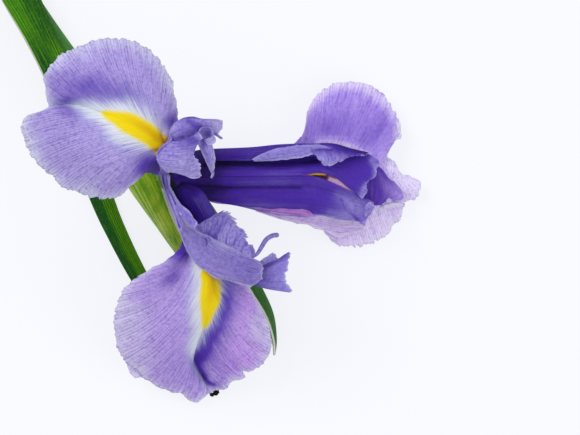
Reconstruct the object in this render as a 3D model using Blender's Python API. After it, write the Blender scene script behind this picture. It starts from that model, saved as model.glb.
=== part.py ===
"""A cut Dutch iris lying on a flat surface: stalk, leaf, spathe valves, perianth tube and flower.

Lengths are millimetres about the flower's base, which is the middle of the perianth tube's rim,
with X to the right, Y away and Z up. The root empty moves the whole flower so that the middle of
its underside is the origin.
"""

from math import cos, pi, radians, sin

import bmesh
import bpy
from mathutils import Vector

MM = 0.001

# Driving dimensions.
PETAL_THICKNESS = 0.8
LEAF_THICKNESS = 0.7
SEAT_GAP = 0.7
BASE_HEIGHT = 11.0
RIM_RADIUS = 4.4
STALK_RADIUS = 3.0
STALK_TOP_RADIUS = 2.7
NODE_RADIUS = 3.25
OVARY_RADIUS = 2.5
NECK_RADIUS = 1.7
FILAMENT_RADIUS = 0.38
ANTHER_RADIUS = 0.65
FILAMENT_LENGTH = 13.0
ANTHER_LENGTH = 10.0
PETAL_ROWS = 18
FALL_ROWS = 24
PETAL_COLUMNS = 10
STYLE_COLUMNS = 8
STRIP_COLUMNS = 6
LEAF_ROWS = 36
LEAF_COLUMNS = 10
VALVE_ROWS = 20
VALVE_COLUMNS = 10
STALK_ROWS = 30
STALK_NODE_ROW = 6
OVARY_ROWS = 18
STAMEN_ROWS = 14
TUBE_SIDES = 16
STAMEN_SIDES = 8
BULGE_SPAN = 10.0

# The perianth tube opens along the flower's axis, and each fall leaves it in its own direction,
# with its stamen and its style branch inside it. The standards stand in the three spaces between.
BASE = Vector((0.0, 0.0, BASE_HEIGHT))
AXIS = Vector((0.56, -0.26, 0.79)).normalized()
OUTWARD = {
    "right": Vector((1.0, 0.03, 0.0)).normalized(),
    "left": Vector((-0.1, 0.22, 0.97)).normalized(),
    "lower": Vector((0.3, -0.75, 0.6)).normalized(),
}
OPPOSITE = {"front": "right", "right": "left", "upper": "lower"}
FALL_SEAT = 3.75
STANDARD_SEAT = 3.3
STAMEN_SEAT = 2.2
STYLE_SEAT = 1.05


def material(name, colour, roughness):
    """A Principled material with the piece's colour and roughness."""
    made = bpy.data.materials.new(name)
    made.use_nodes = True
    shader = made.node_tree.nodes["Principled BSDF"]
    shader.inputs["Base Color"].default_value = (*colour, 1.0)
    shader.inputs["Roughness"].default_value = roughness
    shader.inputs["Metallic"].default_value = 0.0
    return made


def smooth_line(guide, count):
    """Points of a Catmull-Rom line through the guide, evenly spaced in its parameter."""
    guide = [Vector(point) for point in guide]
    ends = [2 * guide[0] - guide[1], *guide, 2 * guide[-1] - guide[-2]]
    points = []
    for step in range(count + 1):
        place = step * (len(guide) - 1) / count
        first = min(int(place), len(guide) - 2)
        t = place - first
        a, b, c, d = ends[first : first + 4]
        bend = (2 * a - 5 * b + 4 * c - d) * t * t + (3 * b - a - 3 * c + d) * t**3
        points.append(b + 0.5 * ((c - a) * t + bend))
    return points


def across(side):
    """The direction away from the flower's axis on one side of it."""
    outward = OUTWARD[side]
    return (outward - outward.dot(AXIS) * AXIS).normalized()


def seat(side, radius):
    """The point on the tube's rim where a piece on that side starts."""
    return BASE + AXIS * SEAT_GAP + across(side) * radius


def opposite_seat(name, radius):
    """The point on the rim where a standard starts, across the axis from a fall."""
    return BASE + AXIS * SEAT_GAP - across(OPPOSITE[name]) * radius


def mesh_object(name, points, faces, finish):
    """An object under the root from points in millimetres and faces, with its doubles merged."""
    mesh = bpy.data.meshes.new(name)
    mesh.from_pydata([point * MM for point in points], [], faces)
    shape = bmesh.new()
    shape.from_mesh(mesh)
    bmesh.ops.remove_doubles(shape, verts=shape.verts, dist=0.01 * MM)
    bmesh.ops.recalc_face_normals(shape, faces=shape.faces)
    shape.to_mesh(mesh)
    shape.free()
    mesh.materials.append(finish)
    mesh.shade_smooth()
    made = bpy.data.objects.new(name, mesh)
    bpy.context.collection.objects.link(made)
    made.parent = root
    return made


def sheet_object(name, rows, thickness, finish):
    """A thin solid whose middle surface passes through rows of points."""
    width = len(rows[0])
    points = [point for row in rows for point in row]
    faces = []
    for row in range(len(rows) - 1):
        for column in range(width - 1):
            corner = row * width + column
            faces.append((corner, corner + 1, corner + width + 1, corner + width))
    made = mesh_object(name, points, faces, finish)
    wall = made.modifiers.new("wall", "SOLIDIFY")
    wall.thickness = thickness * MM
    wall.offset = 0.0
    return made


def petal(name, left, middle, right, finish, lift=(0, 0, 0), size=(PETAL_ROWS, PETAL_COLUMNS)):
    """A petal between its left margin, its midline and its right margin.

    lift is how far each half bulges between the midline and its margin, where it's BULGE_SPAN wide.
    """
    count, columns = size
    half = columns // 2
    lift = Vector(lift)
    lines = [smooth_line(guide, count) for guide in (left, middle, right)]
    rows = []
    for left_point, middle_point, right_point in zip(*lines):
        row = []
        for column in range(-half, half + 1):
            side = left_point if column < 0 else right_point
            t = abs(column) / half
            span = min(1.0, (side - middle_point).length / BULGE_SPAN)
            row.append(middle_point.lerp(side, t) + lift * (4 * t * (1 - t) * span))
        rows.append(row)
    return sheet_object(name, rows, PETAL_THICKNESS, finish)


def tube_object(name, line, radii, finish, sides=TUBE_SIDES):
    """A round solid along a line of points, with a radius at each and flat ends."""
    points = []
    for number, (centre, radius) in enumerate(zip(line, radii)):
        before = line[max(number - 1, 0)]
        after = line[min(number + 1, len(line) - 1)]
        along = (after - before).normalized()
        first = along.cross(Vector((0, 0, 1))).normalized()
        if abs(along.z) > 0.9:
            first = along.cross(Vector((0, 1, 0))).normalized()
        second = along.cross(first)
        for side in range(sides):
            angle = 2 * pi * side / sides
            points.append(centre + radius * (first * cos(angle) + second * sin(angle)))
    faces = []
    for ring in range(len(line) - 1):
        for side in range(sides):
            corner = ring * sides + side
            beside = ring * sides + (side + 1) % sides
            faces.append((corner, beside, beside + sides, corner + sides))
    last = (len(line) - 1) * sides
    faces.append(tuple(range(sides)))
    faces.append(tuple(range(last + sides - 1, last - 1, -1)))
    return mesh_object(name, points, faces, finish)


def stem():
    """The flower stalk, cut square at its far end and swollen where the leaf's sheath starts."""
    guide = [
        (-69.0, 96.5, 3.0),
        (-56.0, 76.0, 3.2),
        (-44.0, 57.5, 3.4),
        (-31.0, 38.0, 3.7),
        (-22.0, 25.5, 3.9),
        (-13.5, 14.0, 4.0),
    ]
    line = smooth_line(guide, STALK_ROWS)
    radii = []
    for step in range(len(line)):
        from_node = abs(step - STALK_NODE_ROW) / 2
        swelling = max(0.0, 1.0 - from_node) * (NODE_RADIUS - STALK_RADIUS)
        taper = (STALK_RADIUS - STALK_TOP_RADIUS) * step / STALK_ROWS
        radii.append(STALK_RADIUS - taper + swelling)
    return tube_object("stem", line, radii, green)


def leaf():
    """The stem leaf: a sheath open underneath that clasps the stalk, then a keeled blade."""
    # Each station: the keel, the half width along the arc, and the angle that it bends through.
    stations = [
        ((-56.0, 76.0, 7.15), 7.6, 112),
        ((-50.0, 66.7, 7.25), 7.6, 112),
        ((-43.5, 56.7, 7.5), 7.2, 104),
        ((-37.5, 46.3, 8.2), 5.8, 76),
        ((-32.2, 36.2, 8.9), 4.3, 52),
        ((-26.6, 24.2, 8.6), 3.9, 50),
        ((-22.2, 10.5, 5.4), 3.6, 50),
        ((-16.7, -4.8, 2.9), 3.1, 50),
        ((-13.2, -13.1, 2.1), 2.7, 50),
        ((-7.6, -24.1, 1.9), 2.3, 48),
        ((-2.3, -32.0, 1.7), 2.0, 46),
        ((4.3, -41.5, 1.4), 1.7, 40),
        ((9.3, -49.2, 1.0), 1.0, 30),
        ((11.5, -52.8, 0.7), 0.5, 20),
    ]
    keel = smooth_line([station[0] for station in stations], LEAF_ROWS)
    shape = smooth_line([(width, angle, 0) for _, width, angle in stations], LEAF_ROWS)
    half = LEAF_COLUMNS // 2
    rows = []
    for number, (top, form) in enumerate(zip(keel, shape)):
        before = keel[max(number - 1, 0)]
        after = keel[min(number + 1, len(keel) - 1)]
        along = (after - before).normalized()
        sideways = along.cross(Vector((0, 0, 1))).normalized()
        upward = sideways.cross(along)
        bend = radians(form.y)
        radius = form.x / bend
        row = []
        for column in range(-half, half + 1):
            angle = bend * column / half
            drop = radius * (1 - cos(angle))
            row.append(top + sideways * (radius * sin(angle)) - upward * drop)
        rows.append(row)
    return sheet_object("leaf", rows, LEAF_THICKNESS, green)


def valve(name, stations, finish):
    """A spathe valve: part of an oval shell about the spathe's axis, narrowing to its tip.

    Each station: the axis point, the oval's half width and half height, and the angles of the
    valve's two margins, from the oval's right-hand side up.
    """
    axis = smooth_line([station[0] for station in stations], VALVE_ROWS)
    oval = smooth_line([(wide, high, 0) for _, wide, high, _, _ in stations], VALVE_ROWS)
    margins = smooth_line([(first, last, 0) for *_, first, last in stations], VALVE_ROWS)
    rows = []
    for number, centre in enumerate(axis):
        before = axis[max(number - 1, 0)]
        after = axis[min(number + 1, len(axis) - 1)]
        along = (after - before).normalized()
        sideways = Vector((-along.y, along.x, 0)).normalized()
        row = []
        for column in range(VALVE_COLUMNS + 1):
            first, last = margins[number].x, margins[number].y
            angle = radians(first + (last - first) * column / VALVE_COLUMNS)
            aside = oval[number].x * cos(angle)
            above = oval[number].y * sin(angle)
            row.append(centre + sideways * aside + Vector((0, 0, above)))
        rows.append(row)
    return sheet_object(name, rows, LEAF_THICKNESS, finish)


def spathe_left():
    stations = [
        ((-16.5, 18.5, 4.0), 3.7, 3.6, 100, 262),
        ((-11.0, 10.8, 4.0), 5.2, 3.6, 98, 262),
        ((-4.1, 1.4, 4.1), 6.8, 3.7, 100, 262),
        ((2.7, -7.7, 4.1), 7.0, 3.7, 106, 262),
        ((7.2, -14.4, 4.1), 6.8, 3.6, 116, 260),
        ((10.8, -21.0, 3.6), 5.4, 3.0, 122, 258),
        ((13.0, -27.5, 2.9), 3.4, 2.2, 128, 255),
        ((14.5, -33.5, 2.2), 1.2, 0.8, 140, 240),
    ]
    return valve("spathe_left", stations, olive)


def spathe_right():
    stations = [
        ((-16.5, 18.5, 4.0), 3.7, 3.6, 80, -82),
        ((-11.0, 10.8, 4.0), 5.2, 3.6, 66, -82),
        ((-4.1, 1.4, 4.1), 6.6, 3.6, 30, -82),
        ((2.7, -7.7, 4.1), 6.9, 3.6, 34, -82),
        ((7.8, -15.0, 4.1), 6.8, 3.6, 44, -80),
        ((13.6, -22.8, 3.9), 6.3, 3.3, 60, -78),
        ((18.3, -29.0, 3.5), 5.0, 2.9, 66, -76),
        ((21.6, -35.0, 2.8), 3.4, 2.2, 66, -74),
        ((24.2, -40.5, 1.9), 1.8, 1.3, 60, -70),
        ((25.6, -44.0, 1.2), 0.6, 0.5, 50, -60),
    ]
    return valve("spathe_right", stations, green)


def ovary_tube():
    """The ovary on the stalk's end and the perianth tube, which bends up and flares to its rim."""
    guide = [
        (-13.25, 13.65, 4.0),
        (-9.0, 8.0, 4.1),
        (-5.2, 3.7, 4.7),
        (-2.7, 1.5, 6.8),
        tuple(BASE - AXIS * 2.6),
        tuple(BASE - AXIS * 1.2),
        tuple(BASE),
    ]
    profile = [OVARY_RADIUS - 0.2, OVARY_RADIUS, 2.1, NECK_RADIUS, 2.4, 3.5, RIM_RADIUS]
    line = smooth_line(guide, OVARY_ROWS)
    radii = [point.x for point in smooth_line([(radius, 0, 0) for radius in profile], OVARY_ROWS)]
    return tube_object("ovary_tube", line, radii, pale_green)


def ribbon_start(point, side_direction, half_width):
    """The three starting points of a petal across its seat on the rim."""
    return (
        tuple(point - side_direction * half_width),
        tuple(point),
        tuple(point + side_direction * half_width),
    )


def fall(side, left, middle, right, lift):
    """A fall: a claw from the rim, then the broad blade."""
    sideways = OUTWARD[side].cross(across(side)).normalized()
    start = ribbon_start(seat(side, FALL_SEAT), sideways, 1.4)
    return petal(
        f"fall_{side}",
        [start[0], *left],
        [start[1], *middle],
        [start[2], *right],
        violet,
        lift,
        (FALL_ROWS, PETAL_COLUMNS),
    )


def fall_left():
    left = [
        (-4.2, -0.8, 24.0),
        (-3.6, -0.6, 32.5),
        (-2.2, 0.2, 37.0),
        (-3.0, 1.0, 37.5),
        (-9.5, -3.0, 36.0),
        (-15.5, -5.5, 35.5),
        (-22.5, -3.5, 35.0),
        (-28.5, 1.0, 34.5),
        (-33.0, 5.5, 34.0),
        (-34.5, 10.5, 34.0),
        (-33.0, 14.5, 35.5),
        (-28.0, 16.5, 36.5),
    ]
    middle = [
        (-3.7, 4.8, 24.5),
        (-2.9, 6.5, 34.0),
        (-0.3, 7.3, 42.5),
        (-1.0, 8.5, 44.0),
        (-2.5, 10.0, 44.5),
        (-4.5, 11.5, 45.0),
        (-7.5, 13.0, 45.0),
        (-11.5, 14.7, 44.5),
        (-16.0, 16.0, 43.0),
        (-20.5, 16.5, 41.0),
        (-24.5, 16.5, 38.5),
        (-28.0, 16.5, 36.5),
    ]
    right = [
        (0.2, 7.6, 23.5),
        (1.2, 10.4, 32.5),
        (2.0, 12.0, 39.5),
        (3.0, 15.0, 39.5),
        (2.0, 22.0, 39.0),
        (-1.0, 27.5, 38.0),
        (-6.0, 31.0, 37.5),
        (-13.0, 33.0, 37.0),
        (-19.5, 31.5, 36.5),
        (-25.0, 29.5, 36.0),
        (-28.5, 23.0, 36.0),
        (-28.0, 16.5, 36.5),
    ]
    return fall("left", left, middle, right, (0, 0, 2.0))


def fall_lower():
    left = [
        (0.2, -8.3, 19.5),
        (3.0, -14.5, 26.0),
        (2.5, -18.0, 26.5),
        (-4.5, -23.0, 24.5),
        (-9.5, -26.0, 22.0),
        (-12.0, -31.0, 18.5),
        (-13.0, -36.5, 14.5),
        (-12.0, -42.0, 11.0),
        (-8.5, -47.0, 7.0),
        (-2.5, -51.0, 3.8),
        (2.0, -53.0, 1.8),
        (6.0, -55.5, 0.6),
    ]
    middle = [
        (2.3, -10.0, 16.5),
        (5.8, -16.0, 25.0),
        (7.5, -19.0, 27.5),
        (9.5, -21.5, 28.3),
        (10.5, -24.5, 28.0),
        (11.0, -27.5, 26.0),
        (10.5, -31.0, 23.0),
        (9.5, -35.0, 19.0),
        (8.0, -39.5, 14.0),
        (6.0, -44.5, 8.0),
        (5.3, -50.0, 3.2),
        (6.0, -55.5, 0.6),
    ]
    right = [
        (5.2, -9.8, 12.5),
        (8.5, -16.5, 20.5),
        (12.5, -21.0, 21.5),
        (17.0, -24.5, 21.0),
        (20.0, -27.5, 19.5),
        (22.5, -31.0, 17.0),
        (24.5, -36.0, 13.5),
        (25.0, -41.0, 10.0),
        (22.5, -46.0, 6.5),
        (18.5, -49.0, 4.0),
        (12.0, -52.5, 1.8),
        (6.0, -55.5, 0.6),
    ]
    return fall("lower", left, middle, right, (0, 0, 1.6))


def fall_right():
    left = [
        (10.0, -5.5, 9.0),
        (20.0, -8.0, 7.8),
        (29.0, -10.3, 6.3),
        (35.5, -11.8, 4.8),
        (40.0, -15.5, 2.2),
        (44.5, -16.6, 0.9),
        (49.5, -16.5, 0.5),
        (53.0, -14.3, 0.5),
        (56.0, -11.5, 0.5),
        (57.5, -8.0, 0.9),
        (60.5, -5.0, 1.3),
        (62.5, -1.5, 2.0),
    ]
    middle = [
        (10.0, 0.5, 9.0),
        (20.0, 0.5, 7.6),
        (29.0, 0.5, 6.4),
        (34.0, 0.5, 6.2),
        (37.5, 0.6, 6.6),
        (41.0, 0.9, 6.9),
        (44.5, 1.3, 6.8),
        (48.0, 1.4, 6.3),
        (51.5, 1.2, 5.4),
        (55.0, 0.4, 4.4),
        (58.5, -0.6, 3.2),
        (62.5, -1.5, 2.0),
    ]
    right = [
        (10.0, 5.5, 9.3),
        (20.0, 7.0, 8.2),
        (29.0, 7.6, 7.2),
        (32.3, 11.0, 6.4),
        (34.0, 15.5, 5.8),
        (36.5, 20.0, 5.2),
        (42.5, 23.3, 4.4),
        (49.5, 22.5, 3.6),
        (54.5, 18.5, 3.2),
        (56.8, 12.5, 3.4),
        (57.0, 5.5, 3.2),
        (62.5, -1.5, 2.0),
    ]
    return fall("right", left, middle, right, (0, 0, 0.8))


def style(side, left, middle, right):
    """A style branch: a narrow roof over its stamen that widens into two crests at its end."""
    sideways = OUTWARD[side].cross(across(side)).normalized()
    start = ribbon_start(seat(side, STYLE_SEAT), sideways, 0.8)
    return petal(
        f"style_{side}",
        [start[0], *left],
        [start[1], *middle],
        [start[2], *right],
        blue_violet,
        (0, 0, 0),
        (PETAL_ROWS, STYLE_COLUMNS),
    )


def style_right():
    left = [
        (5.0, -2.0, 12.9),
        (11.5, -5.3, 11.5),
        (18.5, -7.0, 10.8),
        (26.0, -8.0, 10.2),
        (33.0, -8.2, 9.6),
        (38.5, -9.5, 8.6),
        (44.0, -10.0, 7.8),
        (48.5, -9.5, 7.5),
    ]
    middle = [
        (4.5, 0.3, 13.8),
        (11.5, 0.3, 15.3),
        (18.5, 0.5, 16.0),
        (26.0, 0.5, 15.8),
        (33.0, 0.5, 15.0),
        (37.5, 0.2, 14.2),
        (41.5, -1.0, 12.8),
        (46.0, -3.5, 11.0),
    ]
    right = [
        (5.0, 3.4, 12.6),
        (11.5, 4.8, 12.2),
        (18.5, 5.3, 11.8),
        (26.0, 5.8, 11.5),
        (33.0, 6.2, 11.1),
        (38.5, 6.2, 10.9),
        (45.0, 6.0, 10.7),
        (51.0, 3.8, 10.3),
    ]
    return style("right", left, middle, right)


def style_lower():
    left = [
        (1.2, -7.0, 18.8),
        (2.5, -10.5, 23.0),
        (4.2, -14.5, 28.3),
        (5.8, -17.5, 30.5),
        (9.0, -22.5, 31.5),
        (14.0, -24.5, 31.2),
        (19.5, -26.5, 29.5),
        (23.0, -25.0, 28.5),
    ]
    middle = [
        (2.2, -5.0, 17.0),
        (4.0, -8.5, 22.3),
        (6.2, -11.5, 26.0),
        (7.8, -13.5, 28.0),
        (11.5, -15.5, 29.3),
        (15.5, -17.5, 30.0),
        (19.5, -19.5, 30.0),
        (23.5, -21.5, 29.0),
    ]
    right = [
        (3.4, -5.0, 14.6),
        (5.6, -8.6, 20.5),
        (7.4, -11.0, 24.6),
        (9.2, -11.0, 26.4),
        (11.5, -9.0, 27.0),
        (15.0, -8.0, 27.0),
        (18.5, -12.5, 27.5),
        (21.0, -18.5, 28.5),
    ]
    return style("lower", left, middle, right)


def style_left():
    left = [
        (-1.9, 0.4, 22.0),
        (-1.8, 1.0, 31.0),
        (-0.5, 2.4, 40.5),
        (-1.5, 4.5, 47.2),
        (-0.5, 2.2, 47.8),
        (1.5, 1.2, 47.8),
        (4.5, 0.7, 47.2),
        (8.5, 0.5, 45.5),
    ]
    middle = [
        (-0.5, 1.9, 22.0),
        (0.1, 3.5, 31.5),
        (1.0, 5.2, 41.0),
        (2.0, 7.5, 48.0),
        (4.0, 8.2, 50.3),
        (6.0, 8.7, 51.0),
        (8.3, 9.0, 50.3),
        (10.5, 6.5, 48.0),
    ]
    right = [
        (0.9, 3.6, 22.0),
        (1.9, 6.2, 31.0),
        (3.2, 8.9, 40.0),
        (2.3, 11.3, 46.0),
        (4.0, 13.0, 47.6),
        (7.0, 14.0, 48.2),
        (10.0, 13.5, 48.2),
        (14.0, 12.5, 47.5),
    ]
    return style("left", left, middle, right)


def standard(name, left, middle, right):
    """A standard, narrower than a fall, between two of them."""
    sideways = Vector(right[0]) - Vector(left[0])
    sideways = (sideways - sideways.dot(AXIS) * AXIS).normalized()
    start = ribbon_start(opposite_seat(name, STANDARD_SEAT), sideways, 1.0)
    return petal(
        f"standard_{name}",
        [start[0], *left],
        [start[1], *middle],
        [start[2], *right],
        violet,
        (0, 0, 0),
        (PETAL_ROWS, STRIP_COLUMNS),
    )


def standard_right():
    left = [
        (2.7, -4.6, 11.2),
        (5.6, -8.2, 12.4),
        (7.5, -12.0, 12.2),
        (10.8, -15.5, 12.4),
        (15.0, -20.5, 14.5),
        (19.2, -24.5, 19.5),
        (23.5, -26.8, 24.0),
        (29.5, -27.5, 25.0),
    ]
    middle = [
        (3.9, -4.1, 12.8),
        (7.6, -5.9, 15.3),
        (9.8, -10.0, 15.0),
        (12.4, -14.0, 14.8),
        (15.9, -18.5, 17.0),
        (19.8, -22.3, 21.5),
        (24.0, -23.8, 25.6),
        (29.5, -22.5, 26.3),
    ]
    right = [
        (4.6, -3.1, 13.2),
        (9.0, -4.2, 14.7),
        (11.4, -8.4, 13.8),
        (13.8, -12.6, 13.4),
        (16.9, -16.8, 16.4),
        (20.2, -20.1, 21.0),
        (24.2, -20.8, 24.8),
        (30.0, -17.5, 25.5),
    ]
    return standard("right", left, middle, right)


def standard_upper():
    left = [
        (5.3, 3.2, 14.6),
        (11.5, 4.3, 16.0),
        (20.5, 4.5, 16.8),
        (27.5, 4.6, 16.8),
        (34.0, 5.4, 16.2),
        (40.5, 5.8, 15.2),
        (45.5, 5.5, 14.0),
        (50.5, 5.0, 12.8),
    ]
    middle = [
        (5.0, 4.6, 14.2),
        (11.5, 6.0, 14.4),
        (20.5, 6.7, 14.4),
        (27.5, 7.2, 14.2),
        (34.0, 7.6, 13.8),
        (40.0, 7.6, 13.3),
        (45.5, 6.9, 12.9),
        (50.5, 5.7, 12.3),
    ]
    right = [
        (5.0, 5.4, 12.8),
        (11.5, 7.0, 12.2),
        (20.5, 7.7, 11.6),
        (27.5, 8.2, 11.2),
        (33.5, 8.7, 11.0),
        (40.0, 8.4, 11.2),
        (45.5, 7.6, 11.6),
        (50.5, 6.3, 11.8),
    ]
    return standard("upper", left, middle, right)


def standard_front():
    left = [
        (-0.5, -1.2, 18.5),
        (0.3, -1.6, 27.0),
        (0.6, -2.2, 34.0),
        (0.9, -2.6, 40.0),
        (1.8, -4.2, 45.0),
        (3.6, -7.0, 47.5),
    ]
    middle = [
        (0.4, -2.6, 18.5),
        (2.4, -3.8, 27.0),
        (4.0, -5.6, 34.0),
        (4.6, -6.6, 40.0),
        (5.0, -7.6, 45.0),
        (4.9, -8.4, 48.0),
    ]
    right = [
        (0.6, -4.0, 18.0),
        (3.3, -6.8, 26.5),
        (5.6, -9.8, 33.5),
        (7.0, -11.8, 39.5),
        (7.2, -11.9, 44.5),
        (6.0, -9.8, 47.5),
    ]
    return standard("front", left, middle, right)


def stamen(side, guide):
    """A filament and its anther, under the style branch."""
    start = seat(side, STAMEN_SEAT)
    line = smooth_line([tuple(start), *guide], STAMEN_ROWS)
    radii = []
    for step in range(len(line)):
        along = step / STAMEN_ROWS
        on_anther = along > FILAMENT_LENGTH / (FILAMENT_LENGTH + ANTHER_LENGTH)
        radii.append(ANTHER_RADIUS if on_anther else FILAMENT_RADIUS)
    radii[-1] = FILAMENT_RADIUS
    return tube_object(f"stamen_{side}", line, radii, cream, STAMEN_SIDES)


def rest_on_origin():
    """Moves the root so that the middle of the flower's underside is at the origin."""
    bpy.context.view_layer.update()
    graph = bpy.context.evaluated_depsgraph_get()
    corners = []
    for piece in root.children:
        mesh = piece.evaluated_get(graph).to_mesh()
        corners.extend(vertex.co.copy() for vertex in mesh.vertices)
        piece.evaluated_get(graph).to_mesh_clear()
    low = [min(corner[axis] for corner in corners) for axis in range(3)]
    high = [max(corner[axis] for corner in corners) for axis in range(3)]
    root.location = (-(low[0] + high[0]) / 2, -(low[1] + high[1]) / 2, -low[2])


for old in list(bpy.data.objects):
    bpy.data.objects.remove(old, do_unlink=True)

root = bpy.data.objects.new("flower_base", None)
bpy.context.collection.objects.link(root)

violet = material("violet_petal", (0.24, 0.17, 0.60), 0.55)
blue_violet = material("blue_violet_style", (0.14, 0.09, 0.42), 0.5)
green = material("leaf_green", (0.05, 0.17, 0.03), 0.5)
olive = material("olive_spathe", (0.22, 0.32, 0.04), 0.5)
pale_green = material("pale_green_tube", (0.33, 0.45, 0.14), 0.5)
cream = material("cream_stamen", (0.72, 0.62, 0.38), 0.7)

stem()
leaf()
spathe_left()
spathe_right()
ovary_tube()
fall_left()
fall_lower()
fall_right()
style_left()
style_lower()
style_right()
standard_right()
standard_upper()
standard_front()
stamen("right", [(6.0, 0.5, 11.3), (14.0, 0.5, 12.0), (24.0, 0.5, 11.8)])
stamen("left", [(-1.15, 1.9, 17.5), (-1.85, 3.35, 25.0), (-1.53, 4.53, 33.0)])
stamen("lower", [(1.4, -5.9, 15.0), (4.0, -10.6, 20.2), (6.6, -14.6, 25.2)])
rest_on_origin()
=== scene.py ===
"""Looks of the cut iris: petals, style branches, stamens, spathe, leaf and stalk round the fixed frame.

Guide points are millimetres about the flower's base, the middle of the perianth tube's rim in plan,
with X to the right, Y away and Z up from the surface that the flower lies on.
"""

import math

import bpy
import numpy as np
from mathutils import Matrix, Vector, noise


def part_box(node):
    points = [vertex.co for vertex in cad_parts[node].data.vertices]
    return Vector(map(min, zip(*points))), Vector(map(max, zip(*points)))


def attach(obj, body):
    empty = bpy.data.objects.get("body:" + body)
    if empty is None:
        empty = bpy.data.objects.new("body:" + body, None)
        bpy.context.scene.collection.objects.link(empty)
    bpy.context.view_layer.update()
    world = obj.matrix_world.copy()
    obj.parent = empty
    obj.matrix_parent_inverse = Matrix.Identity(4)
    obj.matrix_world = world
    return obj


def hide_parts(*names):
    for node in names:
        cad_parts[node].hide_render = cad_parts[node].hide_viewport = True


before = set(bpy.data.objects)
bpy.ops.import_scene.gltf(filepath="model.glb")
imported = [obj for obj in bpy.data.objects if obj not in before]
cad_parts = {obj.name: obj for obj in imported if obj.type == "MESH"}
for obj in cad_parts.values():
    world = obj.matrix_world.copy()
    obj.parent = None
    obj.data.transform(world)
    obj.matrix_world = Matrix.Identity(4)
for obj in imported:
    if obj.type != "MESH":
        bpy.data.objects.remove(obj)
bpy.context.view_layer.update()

MM = 0.001
# The stalk's lowest corner in the frame, measured from the flower's base.
STALK_CORNER = Vector((-71.535, 12.393, 0.0))
BASE = np.array(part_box("stem")[0] / MM - STALK_CORNER)

# Driving sizes, in millimetres.
TISSUE = 0.34
BLADE_TISSUE = 0.45
RIM_HEIGHT = 11.0
SEAT_GAP = 0.7
FALL_SEAT = 3.75
STANDARD_SEAT = 3.3
STYLE_SEAT = 1.05
STAMEN_SEAT = 2.2
GUIDE_STEPS = 24
WELD_DISTANCE = 0.004
# A fall's grid: rows of its claw and blade, and columns of each half.
CLAW_ROWS, BLADE_ROWS, HALF_COLUMNS = 26, 210, 44
# An edge distance that no margin's paleness reaches.
FAR_IN = 9.0
LEAF_COLUMNS = 36
VALVE_COLUMNS = 41
ANTHER_FROM = 0.565
POLLEN_FROM = 13.2
GRAIN_RADIUS = 0.08
GRAINS_PER_MM2 = 7.0
LEAF_RIB_RADIUS = 0.08
VALVE_RIB_RADIUS = 0.09
FLOOR_HALF = 1.5
CAMERA_HEIGHT = 998.0
VIEW_CENTRE = np.array((29.9, -9.7))

AXIS = np.array((0.56, -0.26, 0.79))
AXIS /= np.linalg.norm(AXIS)
OUTWARD = {
    "right": np.array((1.0, 0.03, 0.0)),
    "left": np.array((-0.1, 0.22, 0.97)),
    "lower": np.array((0.3, -0.75, 0.6)),
}


# ---------------------------------------------------------------- guide lines


def smooth_line(guide, steps=GUIDE_STEPS):
    """Points of a Catmull-Rom line through the guide, with that many steps between stations."""
    guide = np.array(guide, float)
    ends = np.vstack([2 * guide[0] - guide[1], guide, 2 * guide[-1] - guide[-2]])
    t = np.linspace(0, 1, steps, endpoint=False)[:, None]
    rows = []
    for a, b, c, d in zip(ends, ends[1:], ends[2:], ends[3:]):
        bend = (2 * a - 5 * b + 4 * c - d) * t**2 + (3 * b - a - 3 * c + d) * t**3
        rows.append(b + 0.5 * ((c - a) * t + bend))
    return np.vstack([*rows, guide[-1:]])


def lengths(points):
    """Distance along a line of points at each of them."""
    steps = np.linalg.norm(np.diff(points, axis=0), axis=1)
    return np.concatenate([[0.0], np.cumsum(steps)])


def sample(points, own_places, places):
    """Points of a line at some places, given the place of each of its own points."""
    return np.stack([np.interp(places, own_places, points[:, axis]) for axis in range(3)], axis=-1)


def at(points, fractions):
    """Points at fractions of a line's length."""
    run = lengths(points)
    return sample(points, run, np.asarray(fractions) * run[-1])


def by_station(points, fractions):
    """Points at fractions of a line's stations."""
    return sample(points, np.arange(len(points)), np.asarray(fractions) * (len(points) - 1))


def unit(vectors, least=0.0):
    """Vectors scaled to a length of one. least keeps a vector of no length from dividing by it."""
    return vectors / np.maximum(np.linalg.norm(vectors, axis=-1, keepdims=True), least)


def fade(low, high, value):
    """A smooth step from 0 to 1."""
    t = np.clip((value - low) / (high - low), 0, 1)
    return t * t * (3 - 2 * t)


def ripple(values, seed, scale=1.0):
    """Smooth noise between about -1 and 1 along a list of numbers."""
    return np.array([noise.noise(Vector((v * scale, seed * 7.3, seed * 1.7))) for v in values]) * 1.6


def across(side):
    """The way from the tube's axis to a petal's place on the rim."""
    outward = unit(OUTWARD[side])
    return unit(outward - outward.dot(AXIS) * AXIS)


def seat(side, radius, sign=1):
    """The point on the tube's rim where a piece starts, or the one across from it."""
    base = np.array((0.0, 0.0, RIM_HEIGHT))
    return base + AXIS * SEAT_GAP + sign * across(side) * radius


# ---------------------------------------------------------------- pieces


def add_object(name, data):
    made = bpy.data.objects.new(name, data)
    bpy.context.scene.collection.objects.link(made)
    return made


def write_field(mesh, field, values):
    """Stores a number at each vertex for the materials to read."""
    layer = mesh.attributes.new(field, "FLOAT", "POINT")
    layer.data.foreach_set("value", values.astype(np.float32))


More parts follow.
